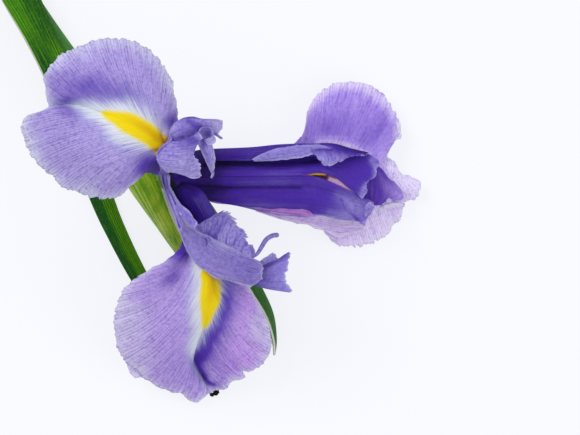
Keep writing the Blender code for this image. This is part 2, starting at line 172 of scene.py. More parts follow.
class Piece:
    """Sheets and tubes gathered into one mesh, with the numbers that its material reads."""

    FIELDS = ("vein", "run", "edge", "along", "aside", "deep")

    def __init__(self, name):
        self.name = name
        self.points = []
        self.faces = []
        self.values = {field: [] for field in self.FIELDS}
        self.count = 0

    def add_grid(self, grid, **values):
        """Adds a grid of points, with one value of each field at each point."""
        rows, columns = grid.shape[:2]
        index = np.arange(rows * columns).reshape(rows, columns) + self.count
        quads = np.stack(
            [index[:-1, :-1], index[:-1, 1:], index[1:, 1:], index[1:, :-1]], axis=-1
        ).reshape(-1, 4)
        self.points.append(grid.reshape(-1, 3))
        self.faces.append(quads)
        for field in self.FIELDS:
            value = np.broadcast_to(values.get(field, 0.0), (rows, columns))
            self.values[field].append(value.reshape(-1))
        self.count += rows * columns

    def make(self, thickness=TISSUE):
        """The mesh object in the frame's metres, given its thickness as a closed shell."""
        points = (np.vstack(self.points) + BASE) * MM
        faces = np.vstack(self.faces)
        mesh = bpy.data.meshes.new(self.name)
        mesh.from_pydata(points.tolist(), [], faces.tolist())
        for field in self.FIELDS:
            write_field(mesh, field, np.concatenate(self.values[field]))
        made = add_object(self.name, mesh)
        made.modifiers.new("weld", "WELD").merge_threshold = WELD_DISTANCE * MM
        if thickness:
            wall = made.modifiers.new("wall", "SOLIDIFY")
            wall.thickness = thickness * MM
            wall.offset = 0.0
        settle(made)
        return made


def settle(made):
    """Applies a piece's modifiers, and shades it smooth."""
    graph = bpy.context.evaluated_depsgraph_get()
    mesh = bpy.data.meshes.new_from_object(
        made.evaluated_get(graph), preserve_all_data_layers=True, depsgraph=graph
    )
    made.modifiers.clear()
    made.data = mesh
    mesh.name = made.name
    mesh.polygons.foreach_set("use_smooth", np.ones(len(mesh.polygons), bool))


def from_above(grid):
    """Where each point is seen, at the height of the rim."""
    nearer = 1 - (grid[..., 2:] - RIM_HEIGHT) / (CAMERA_HEIGHT - RIM_HEIGHT)
    return VIEW_CENTRE + (grid[..., :2] - VIEW_CENTRE) / nearer


def soft_spots(grid, spots):
    """The sum of round soft spots of shade: (x, y, radius, amount) each."""
    total = np.zeros(grid.shape[:2])
    seen_at = from_above(grid)
    for x, y, radius, amount in spots:
        away = np.hypot(seen_at[..., 0] - x, seen_at[..., 1] - y) / radius
        total += amount * np.exp(-(away**2))
    return total


def band_spots(grid, bands):
    """The sum of soft bands of shade along lines: (points, half width, amount) each."""
    total = np.zeros(grid.shape[:2])
    flat = from_above(grid).reshape(-1, 1, 2)
    for points, half_width, amount in bands:
        line = smooth_line([(*point, 0) for point in points], 8)
        count = int(lengths(line)[-1] / (0.4 * half_width)) + 3
        line = at(line, np.linspace(0, 1, count))[:, :2]
        away = np.linalg.norm(flat - line[None], axis=2).min(1).reshape(grid.shape[:2])
        total += amount * np.exp(-((away / half_width) ** 2))
    return total


def nearest_on(line, grid, side):
    """Distance along a line to the place nearest each grid point, and the signed distance from it."""
    line = line[:: max(1, len(line) // 160)]
    run = lengths(line)
    flat = grid.reshape(-1, 1, 3)
    away = np.linalg.norm(flat - line[None], axis=2)
    first = away.argmin(1)
    shape = grid.shape[:2]
    return run[first].reshape(shape), away.min(1).reshape(shape) * side


def fan_petal(piece, claw, blade, lead, veins, seed, notches, lift=2.0, frill=0.5, spots=(), bands=(),
              bend=0.5, reach_out=0.35, creases=()):
    """A fall: a claw whose veins run along it, then a blade whose veins fan out to its margin.

    claw and blade each hold a left, a middle and a right line. lead is how far forward the veins
    sweep, lift how far each half bulges, frill and notches how much the margin waves, and creases
    the folds: (points, half width, depth) each.
    """
    lines = [smooth_line([*claw[i], *blade[i]]) for i in range(3)]
    joints = [len(claw[i]) * GUIDE_STEPS for i in range(3)]
    claws = [line[: joint + 1] for line, joint in zip(lines, joints)]
    blades = [line[joint:] for line, joint in zip(lines, joints)]
    t_claw = np.linspace(0, 1, CLAW_ROWS, endpoint=False)
    s = np.linspace(0, 1, BLADE_ROWS + 1)
    claw_mid = by_station(claws[1], t_claw)
    blade_mid = at(blades[1], s**lead)
    ahead = at(blades[1], np.clip(s**lead + (s - s**lead) * bend, 0, 1))
    v = np.linspace(0, 1, HALF_COLUMNS + 1)[None, :, None]
    middle_line = np.vstack([claw_mid, at(blades[1], s)])
    for side, which in ((-1, 0), (1, 2)):
        claw_edge = by_station(claws[which], t_claw)
        blade_edge = at(blades[which], s)
        length = lengths(blade_edge)
        teeth = (ripple(length, seed + side, 0.5) + 0.8 * ripple(length, seed + 5 + side, 1.3)
                 + 0.5 * ripple(length, seed + 9 + side, 2.3))
        away = np.linalg.norm(blade_edge - blade_mid, axis=1)
        # Teeth fade out where the blade starts.
        tooth = notches * teeth * fade(0, 0.06, s) / np.maximum(away, 3.0)
        reach = v + tooth[:, None, None] * fade(0.7, 1.0, v)
        start = blade_mid[:, None]
        end = blade_edge[:, None]
        # The control points keep the midline's own height, so that no crease shows along it.
        control = ahead[:, None] + (end - ahead[:, None]) * (reach_out, reach_out, 0.0)
        blade_grid = (1 - reach) ** 2 * start + 2 * reach * (1 - reach) * control + reach**2 * end
        claw_grid = claw_mid[:, None] + (claw_edge - claw_mid)[:, None] * v ** (1.0, 1.0, 2.0)
        grid = np.vstack([claw_grid, blade_grid])
        width = np.concatenate([np.linalg.norm(claw_edge - claw_mid, axis=1), away])
        span = np.minimum(1.0, width / 10.0)[:, None]
        flat_v = v[:, :, 0]
        grid[..., 2] += lift * 6.75 * flat_v**2 * (1 - flat_v) * span
        no_claw = np.zeros(CLAW_ROWS)
        s_all = np.concatenate([no_claw, s])
        on_blade = np.concatenate([no_claw, fade(0.0, 0.1, s)])[:, None]
        run_length = np.concatenate([no_claw, length])
        wave = (ripple(run_length, seed + 11 + side, 0.16)
                + 0.5 * ripple(run_length, seed + 17 + side, 0.42))
        grid[..., 2] += frill * wave[:, None] * fade(0.45, 1.0, flat_v) * on_blade
        crimp = np.sin(2 * math.pi * (s_all * veins * 0.5)[:, None] + 2 * wave[:, None])
        grid[..., 2] += 0.07 * crimp * fade(0.15, 0.9, flat_v) * on_blade * (0.4 + 0.6 * span)
        for points, half_width, depth in creases:
            grid[..., 2] -= band_spots(grid, [(points, half_width, depth)])
        along, aside = nearest_on(middle_line, grid, side)
        edge_line = np.vstack([claw_edge, blade_edge])
        edge = np.linalg.norm(grid - edge_line[:, None], axis=2)
        # The margin pales only past the blade's narrow start.
        edge = edge + 8.0 * (1 - fade(0.04, 0.15, s_all))[:, None]
        vein = s_all[:, None] * veins + (1 - on_blade) * flat_v * 9
        run = np.maximum(flat_v, (1 - on_blade) * 0.6)
        deep = soft_spots(grid, spots) + band_spots(grid, bands)
        run = np.broadcast_to(run, grid.shape[:2])
        values = dict(vein=vein, run=run, edge=edge, along=along, aside=aside, deep=deep)
        if side < 0:
            grid = grid[:, ::-1]
            values = {field: value[:, ::-1] for field, value in values.items()}
        piece.add_grid(grid, **values)


def strip(piece, lines, rows=70, columns=40, veins=12, seed=1, end_teeth=0.0, side_teeth=0.0,
          waves=0.0, deep=0.0, spots=(), bands=(), wave_scale=0.3, first_teeth=0.0, crimp=0.05,
          gather=0.0, across_it=False, rims="end first last", crisp=1.0, aside=60.0):
    """A sheet across several guide lines that run the same way, each with any number of stations.

    The lines' last points are its free end. end_teeth cuts that end, side_teeth the last line,
    first_teeth the first line. Its veins run along it, or across it from the first line to the last.
    rims names the sides that pale at their margin and carry a painted edge highlight, and crisp
    narrows that margin.
    """
    fine = [smooth_line(line, 16) for line in lines]
    u = np.linspace(0, 1, rows + 1)
    v = np.linspace(0, 1, columns + 1)
    rails = np.stack([by_station(line, u) for line in fine], axis=1)
    cross = []
    for row in rails:
        cross.append(by_station(smooth_line(row, 12), v) if len(row) > 2 else
                     row[0] + (row[1] - row[0]) * v[:, None])
    grid = np.array(cross)
    ends = lengths(grid[-1])
    if end_teeth:
        teeth = ripple(ends, seed + 3, 0.5) + 0.7 * ripple(ends, seed + 4, 1.6)
        pull = unit(grid[-1] - grid[-max(3, rows // 6)], 1e-6)
        grid += (end_teeth * teeth)[None, :, None] * pull[None] * fade(0.72, 1.0, u)[:, None, None]
    for amount, column, way in ((side_teeth, -1, 1), (first_teeth, 0, -1)):
        if amount:
            run_length = lengths(grid[:, column])
            teeth = (ripple(run_length, seed + 7 + way, 0.55) + 0.7 * ripple(run_length, seed + 8, 1.5)
                     + 0.4 * ripple(run_length, seed + 9, 2.8))
            inner = grid[:, -1 - max(2, columns // 5)] if way > 0 else grid[:, max(2, columns // 5)]
            pull = unit(grid[:, column] - inner, 1e-6)
            near = fade(0.6, 1.0, v) if way > 0 else 1 - fade(0.0, 0.4, v)
            cut = (amount * teeth * fade(0.1, 0.4, u))[:, None, None]
            grid += cut * pull[:, None] * near[None, :, None]
    normal = unit(np.cross(np.gradient(grid, axis=0), np.gradient(grid, axis=1)), 1e-9)
    if waves:
        long_way = lengths(grid[:, columns // 2])
        wave = np.array([[noise.noise(Vector((x * wave_scale, y * wave_scale * 1.4, seed * 3.1)))
                          for y in ends] for x in long_way])
        grid += normal * (waves * 1.6 * wave * fade(0.05, 0.5, u)[:, None])[..., None]
    if across_it:
        long_way = lengths(grid[:, columns // 2])
        beat = 2 * math.pi * veins * long_way / long_way[-1] + 1.5 * ripple(long_way, seed + 21, 0.5)
        ribs = np.sin(beat)[:, None] * fade(0.1, 0.7, v)[None]
    else:
        ribs = np.sin(2 * math.pi * veins * v)[None, :] * fade(0.0, 0.3, u)[:, None]
    grid += normal * (crimp * ribs)[..., None]
    wide = np.maximum(np.linalg.norm(grid[:, -1] - grid[:, 0], axis=1), 0.5)[:, None]
    distances = {
        "end": (1 - u)[:, None] * lengths(grid[:, columns // 2])[-1] + 0 * v[None],
        "first": v[None] * wide,
        "last": (1 - v)[None] * wide,
    }
    edge = np.full(grid.shape[:2], FAR_IN)
    for side in rims.split():
        edge = np.minimum(edge, distances[side] * crisp)
    shade = deep + soft_spots(grid, spots) + band_spots(grid, bands)
    if across_it:
        spread = u[:, None] * veins + 0 * v[None] + seed * 13.7
        run = v[None] + 0 * u[:, None]
    else:
        spread = v[None] * (1.0 - gather * (1 - u)[:, None]) * veins + seed * 13.7
        run = u[:, None] + 0 * v[None]
    piece.add_grid(grid, vein=spread, run=run, edge=edge, along=u[:, None] * 30.0 + 0 * v[None],
                   aside=aside, deep=shade)


def tube(piece, line, radii, sides=12, round_ends=True, squash=1.0, pith=0.0):
    """A round closed solid along a line, with a radius at each of its points."""
    line = np.array(line, float)
    radii = np.array(radii, float)
    if round_ends:
        before, after = unit(line[0] - line[1]), unit(line[-1] - line[-2])
        line = np.vstack([line[0] + before * radii[0] * 0.5, line, line[-1] + after * radii[-1] * 0.5])
        radii = np.concatenate([[radii[0] * 0.45], radii, [radii[-1] * 0.45]])
    tangent = unit(np.gradient(line, axis=0))
    up = np.array((0.0, 0.0, 1.0)) if abs(tangent[:, 2]).mean() < 0.8 else np.array((0.0, 1.0, 0.0))
    first = unit(np.cross(tangent, up))
    second = np.cross(first, tangent)
    angle = np.linspace(0, 2 * math.pi, sides + 1)
    circle = (first[:, None] * np.cos(angle)[None, :, None]
              + second[:, None] * np.sin(angle)[None, :, None] * squash)
    grid = line[:, None] + circle * radii[:, None, None]
    caps = [np.repeat(line[:1], sides + 1, 0)[None], grid, np.repeat(line[-1:], sides + 1, 0)[None]]
    grid = np.concatenate(caps)
    run = lengths(np.vstack([line[:1], line, line[-1:]]))[:, None] + 0 * angle[None]
    # A cut face pales to its middle.
    paled = np.zeros(grid.shape[:2])
    paled[0] = paled[-1] = -pith
    piece.add_grid(grid, vein=(angle / (2 * math.pi))[None] * 24.0, run=run,
                   along=run, aside=(angle / (2 * math.pi))[None], edge=FAR_IN, deep=paled)


# ---------------------------------------------------------------- falls


def ribbon(side, radius, half_width, sign=1):
    """The left, middle and right starting points of a petal on the rim."""
    middle = seat(side, radius, sign)
    sideways = unit(np.cross(OUTWARD[side], across(side)))
    return [middle - sideways * half_width, middle, middle + sideways * half_width]


def fall_left():
    start = ribbon("left", FALL_SEAT, 1.4)
    claw = [
        [start[0], (-3.1, 0.8, 24), (-2.9, 0.9, 32.5)],
        [start[1], (-3.7, 4.8, 24.5), (-2.9, 6.5, 34)],
        [start[2], (0.2, 7.6, 23.5), (1.2, 10.4, 32.5)],
    ]
    blade = [
        [(-1.6, 0.5, 37), (-1.8, 0.9, 37.8), (-3.2, 1, 37.5), (-5.1, 0.6, 37.2), (-6.6, -0.9, 36.8),
         (-8.5, -2.2, 36.5), (-10.1, -3.8, 36), (-12.4, -4.9, 35.7), (-15.5, -5.1, 35.5),
         (-18.2, -4.7, 35.2), (-21.7, -3.4, 35), (-24.4, -2.2, 34.8), (-26.7, -0.3, 34.6), (-29.4, 2, 34.3),
         (-31, 3.7, 34.1), (-32.5, 6.2, 34), (-33.5, 8.9, 34), (-34.3, 11.3, 34), (-34.1, 13.2, 34.5),
         (-32.4, 14.7, 35.3), (-30.1, 15.2, 36), (-27.7, 16.6, 36.5)],
        [(-0.3, 7.3, 42.5), (0, 7, 43.8), (-1.6, 8.4, 44.3), (-3.9, 10.2, 44.8), (-7, 12, 45),
         (-10.3, 13.5, 44.8), (-13.7, 14.8, 44), (-17.6, 16.2, 42.5), (-21.2, 17.1, 40.8),
         (-24.9, 17, 38.5), (-27.7, 16.6, 36.5)],
        [(2, 12, 39.5), (3.2, 13.4, 39.6), (2.6, 18.1, 39.3), (1.5, 23, 39), (0, 25.7, 38.6),
         (-1.8, 28.4, 38.3), (-4.3, 30.3, 38), (-7, 31.9, 37.7), (-10.1, 32.8, 37.4), (-13.1, 33, 37.1),
         (-15.4, 32.7, 36.9), (-17.7, 32.1, 36.7), (-20.5, 30.8, 36.5), (-23.5, 29.8, 36.3),
         (-25.8, 28.3, 36.2), (-28.1, 25.4, 36.2), (-28.7, 23.5, 36.2), (-28.3, 20.4, 36.3),
         (-27.7, 17.3, 36.4), (-27.7, 16.6, 36.5)],
    ]
    piece = Piece("fall_left_blade")
    spots = [(-20.6, 21.1, 9, 0.3), (-25, 18.4, 4.5, 0.2), (-9.8, 22.1, 7, 0.1), (-2.5, 2.5, 3.4, 1.2),
             (-5.1, 2, 4, 0.5), (0.7, 13.7, 2.2, 0.8), (-25.5, 15.7, 4, 0.15), (-8.8, 1.5, 6, 0.2),
             (-19.6, -2, 8, -0.3), (-32.8, 9.3, 6, -0.3), (-9.8, 30.1, 8, -0.15), (0, 22.8, 4, -0.3),
             (-26, 27, 5, -0.3)]
    # The band along the upper lobe near its midline is painted shade, where the blade turns away from the
    # light.
    bands = [([(-27.9, 24.5), (-22.5, 22.5), (-15.7, 22.1), (-9.3, 19.9)], 4.2, 0.4)]
    fan_petal(piece, claw, blade, spots=spots, bands=bands, veins=36, seed=2, notches=0.42, lead=3.6)
    return piece.make()


def fall_lower():
    start = ribbon("lower", FALL_SEAT, 1.4)
    claw = [
        [start[0] + (1, 0, 0), (1.3, -8.1, 19.5)],
        [start[1] + (0.4, 0, 0), (2.6, -10, 16.5)],
        [start[2], (5.2, -9.8, 12.5)],
    ]
    blade = [
        [(3.9, -14.4, 26), (3.8, -15.8, 26.7), (2.5, -18.1, 26.8), (0, -20.2, 26), (-2.8, -21.8, 25.2),
         (-5.3, -23.2, 24.2), (-8.1, -25, 22.7), (-10.2, -27.2, 21), (-11.9, -30.7, 18.5), (-13, -34.3, 16),
         (-12.7, -38, 13.3), (-12.2, -41.7, 11), (-10.7, -44.7, 9), (-8.7, -46.7, 7.5), (-5.9, -49.2, 5.8),
         (-2.7, -51.3, 4.3), (0.5, -52.6, 3.2), (3.3, -53.2, 2.4), (4.7, -54.6, 1.8), (6.6, -55.4, 1.2),
         (8.6, -54.1, 1.2)],
        [(5.8, -16, 25), (7.7, -19, 27.6), (9.2, -21.1, 28.3), (10.4, -22.8, 28.6), (11, -25, 28),
         (11, -27.4, 26.5), (10.2, -31.3, 23.5), (9.3, -35.3, 19.8), (7.7, -38.8, 16), (6.4, -41.6, 12.8),
         (5.9, -43.6, 10.4), (7, -46.5, 7), (8.7, -49, 4.3), (9.9, -51.3, 2.6), (8.6, -54.1, 1.2)],
        [(8.5, -16.5, 20.5), (13.4, -20.5, 21.3), (17.3, -24.1, 20.8), (19.4, -26.6, 19.8),
         (21.4, -29.5, 18.2), (23.2, -32.7, 16), (24.6, -36, 13.8), (25.2, -39.3, 11.6), (25, -42.2, 9.6),
         (24.2, -44.1, 8.3), (22.1, -46.4, 6.5), (20.1, -47.6, 5.4), (18.2, -47.5, 5.1), (18.5, -49.1, 4.4),
         (15.2, -50.3, 3.5), (14.1, -52, 2.8), (11.5, -52.2, 2.2), (9.9, -53.2, 1.6), (8.6, -54.1, 1.2)],
    ]
    piece = Piece("fall_lower_blade")
    # Painted shade: the dark bands hugging the halo's right side where the right half falls away, the dark
    # strokes along the fold near the tip, and the soft band along the upper left side.
    bands = [
        ([(13.4, -24), (13.6, -27.5), (13.1, -30.9), (11.8, -35), (9.9, -39.2), (8.3, -43.1)], 1.7, 0.62),
        ([(14.5, -26), (14.2, -30.4), (12.7, -35.3), (10.5, -40.2), (9.1, -43.6)], 3.6, 0.42),
        ([(6.5, -44.6), (7.5, -46.8), (8.6, -48.5)], 1.15, 0.85),
        ([(8.6, -48.5), (9.8, -49.8), (11.2, -50.6)], 0.6, 0.7),
        ([(-5.6, -29.4), (-2, -27), (2, -24)], 2, 0.3),
        ([(4.4, -17.6), (2.9, -20.6), (0.5, -23.8)], 3, 0.35),
        ([(17.4, -45.8), (18.9, -46.8), (20.1, -47.5)], 0.25, -0.9),
        ([(1, -37.3), (2, -42.2), (4.4, -48)], 3.6, 0.2),
    ]
    spots = [(3.9, -15.9, 4, 1), (13.2, -49, 5, 0.2), (16.4, -33.8, 6, 0.28), (15.4, -40.9, 5, 0.2),
             (22.5, -36.3, 5, -0.8), (19.6, -40.9, 6, -0.1), (-9.8, -40.9, 8, -0.6),
             (-10.5, -31.9, 5.5, -0.6), (2.9, -45.8, 7, 0.1)]
    creases = [
        ([(6.6, -43.6), (7.7, -46.3), (9.3, -48.8)], 1.4, 0.9),
        ([(4.9, -44.6), (6.4, -47.5), (7.8, -49.5)], 1.6, -0.3),
    ]
    fan_petal(piece, claw, blade, spots=spots, bands=bands, veins=34, seed=4, lift=1.6, notches=0.32,
              creases=creases, lead=4.2, bend=0.6, reach_out=0.3)
    back_fold = [
        [(-9.4, -44.2, 8.6), (-8.2, -45.5, 7.4), (-6.5, -47, 6.4), (-4.6, -48.8, 5.2)],
        [(-10.3, -45.5, 8), (-9.6, -47.6, 7), (-8.6, -49.1, 6.2), (-7.1, -49, 5.8), (-5.5, -49.5, 5.2)],
    ]
    strip(piece, back_fold, rows=24, columns=8, veins=3, seed=41, deep=-0.7, side_teeth=0.2)
    return piece.make()


def fall_right():
    start = ribbon("right", FALL_SEAT, 1.4)
    claw = [
        [start[0], (9.9, -5.6, 9), (16, -6.6, 8.6), (22.2, -8.1, 8), (27.4, -9.8, 7)],
        [start[1], (10, 0.3, 9), (16.1, 0.3, 8.3), (22.5, 0.3, 7.4), (27.4, 0.3, 6.6)],
        [start[2], (10, 5.9, 9.3), (16.1, 6.8, 8.9), (22.3, 7.3, 8.4), (27.4, 7.7, 7.8)],
    ]
    blade = [
        [(29.9, -10.5, 6.4), (31.8, -11, 5.6), (34.5, -11.2, 5), (37.6, -12.3, 4.2), (39.3, -14.3, 3.2),
         (41.5, -16.3, 2.2), (45.1, -16.8, 1.4), (49.5, -16.3, 1), (53.5, -14.3, 0.8), (55.5, -11.6, 0.9),
         (56.9, -10.3, 1.2), (58.1, -6.1, 1.6), (58.6, -5.7, 1.8), (61, -4.6, 2.4), (62.1, -2.8, 3),
         (62.1, -1.7, 3)],
        [(29.9, 0.3, 6.3), (35.3, 0.4, 6.5), (40.2, 0.7, 7), (44.9, 1.1, 7), (48.6, 1, 6.6),
         (53.1, 0.3, 5.4), (57.5, -0.7, 4.2), (62.1, -1.7, 3)],
        [(29.9, 8.2, 7.5), (31, 8.6, 7.3), (33.2, 10.8, 6.9), (34, 13.9, 6.4), (34.3, 16.6, 6),
         (35.8, 19.6, 5.5), (38, 21.6, 5.1), (40.7, 23.2, 4.8), (43.3, 23.8, 4.5), (46.2, 23.6, 4.2),
         (49.5, 22.8, 3.9), (52.6, 21, 3.6), (54.3, 18.6, 3.4), (55.9, 16.2, 3.3), (56.9, 13.1, 3.3),
         (56.8, 11.3, 3.3), (55.7, 9.6, 3.4), (53.9, 7.3, 3.6), (52.6, 6.1, 3.8), (53.6, 5.3, 3.6),
         (55.7, 3.8, 3.3), (57, 1.4, 3), (59.7, 0.3, 2.8), (62.1, -0.9, 3), (62.1, -1.7, 3)],
    ]
    piece = Piece("fall_right_blade")
    spots = [(42.6, 14.2, 7, 0.4), (37.7, 11.8, 4, 0.3), (50, 9.3, 4, 0.35), (53.4, 14.7, 4.5, 0.35),
             (53.2, -9.1, 9, -0.5), (44.6, -14, 9, -0.4), (58.1, 0, 6, -0.6), (54.9, 4.9, 3, -0.4),
             (44.6, 21.6, 6, -0.2), (38.5, -14.2, 4, 0.35), (42.6, -15.9, 3.5, 0.3), (32.4, -9.1, 9, -0.3)]
    bands = [
        ([(17.6, -7.1), (25, -8.3), (32.4, -8.6)], 0.7, 0.7),
        ([(36.8, 8.8), (40.9, 8.8), (45.1, 7.6), (48.5, 5.9)], 1.1, -0.9),
    ]
    fan_petal(piece, claw, blade, spots=spots, bands=bands, veins=36, seed=6, lift=0.8, lead=1.6,
              notches=0.32, frill=0.8)
    # The blade's middle, folded over near its tip, painted darker as the shade of the double layer.
    lap = [
        [(48.6, 4.5, 6.4), (48.1, 2.5, 7), (47.6, 0.3, 7), (47.4, -1.9, 7), (47.6, -4.1, 6.8),
         (48.6, -6.4, 5.8)],
        [(50.1, 4.5, 6.4), (50.3, 2.5, 7), (50.6, 0.3, 7), (50.8, -2.2, 7), (50.6, -4.6, 6.6),
         (50.4, -6.6, 5.8)],
        [(51.1, 4, 6), (52.3, 1.8, 6.2), (53.5, -0.4, 6.2), (54.5, -2.4, 6), (54.3, -4.4, 5.6),
         (52.1, -6.6, 5.2)],
        [(51.6, 3.1, 5.6), (52.9, 1.7, 5.4), (54.1, 0.1, 5.3), (54.9, -1, 5.1), (56.2, -1.6, 4.9),
         (57.3, -2.7, 4.7), (58.1, -3.5, 4.5), (58.3, -4.6, 4.4), (58, -5.6, 4.3), (56.7, -5.8, 4.3),
         (54.8, -5.9, 4.4), (53, -6.4, 4.6), (51.4, -6.8, 4.7)],
    ]
    strip(piece, lap, rows=90, columns=40, veins=9, seed=3, deep=0.7, side_teeth=0.15, waves=0.25,
          rims="last", crisp=3, spots=[(56.9, -4.2, 3.4, -0.35), (50.5, -5.4, 4, 0.2), (52.2, 2.5, 3, 0.3)],
          bands=[([(52, 0.5), (53.9, -2), (55.9, -4.4)], 1.4, -0.2)])
    # The pale rim that turns up below the lap.
    rim = [
        [(51.5, -8.3, 4.6), (52, -7.2, 5), (53.3, -6.6, 5.2), (55.3, -6.2, 5), (57.1, -6.1, 4.6),
         (58.2, -6.4, 4)],
        [(51.8, -9.5, 4.2), (52.6, -8.3, 4.4), (53.9, -7.6, 4.4), (55.5, -7.3, 4.3), (57.1, -7.2, 4),
         (58.1, -6.9, 3.6)],
    ]
    strip(piece, rim, rows=50, columns=10, veins=3, seed=43, deep=-0.7, crisp=2, aside=-60)
    # A shorter layer over the lower lobe.
    layer = [
        [(23, -6.6, 8.4), (28.7, -8.3, 7.8), (34.8, -8.8, 7), (39.8, -9.3, 6.4), (44.2, -9.6, 5.8),
         (48.6, -10.3, 5)],
        [(22, -7.6, 8), (28.2, -9.4, 7.2), (33.8, -10.3, 6.2), (39.3, -11.5, 5.2), (43.7, -12, 4.8),
         (48.2, -12.3, 4.4)],
        [(21.5, -8.1, 7.8), (27.4, -10, 6.9), (32.4, -11.1, 6), (34.8, -11.4, 5.6), (36.1, -12.3, 5.1),
         (37.5, -12.6, 4.8), (39.3, -13.2, 4.4), (40.5, -14.1, 4), (41.8, -14.7, 3.7), (43.1, -14.3, 3.7),
         (45.2, -13.7, 3.9), (47.4, -13.1, 4.2)],
    ]
    strip(piece, layer, rows=110, columns=24, veins=4, seed=45, deep=-0.5, side_teeth=0.25, waves=0.2,
          crisp=2, aside=-60,
          bands=[([(20.1, -7.4), (26.2, -8.8), (32.4, -9.2), (35.3, -9.3)], 0.3, 1.1),
                 ([(32.4, -9.8), (35.3, -10), (37.3, -10.5)], 0.5, 0.5),
                 ([(39.7, -10.8), (43.4, -12.5), (46.1, -12.7)], 0.5, 0.3)])
    # The crimped margin beside the notch.
    crimped = [
        [(56.2, 13.9, 4.1), (56.1, 11.9, 4.1), (54.8, 9.9, 4.2), (53.2, 7.7, 4.4)],
        [(57.2, 13.4, 3.7), (57.1, 11.2, 3.7), (56.1, 9.2, 3.8), (54.2, 7.1, 4)],
    ]
    strip(piece, crimped, rows=90, columns=10, veins=2, seed=47, deep=-0.6, side_teeth=0.3, waves=0.7,
          wave_scale=0.9)
    return piece.make()


# ---------------------------------------------------------------- style branches


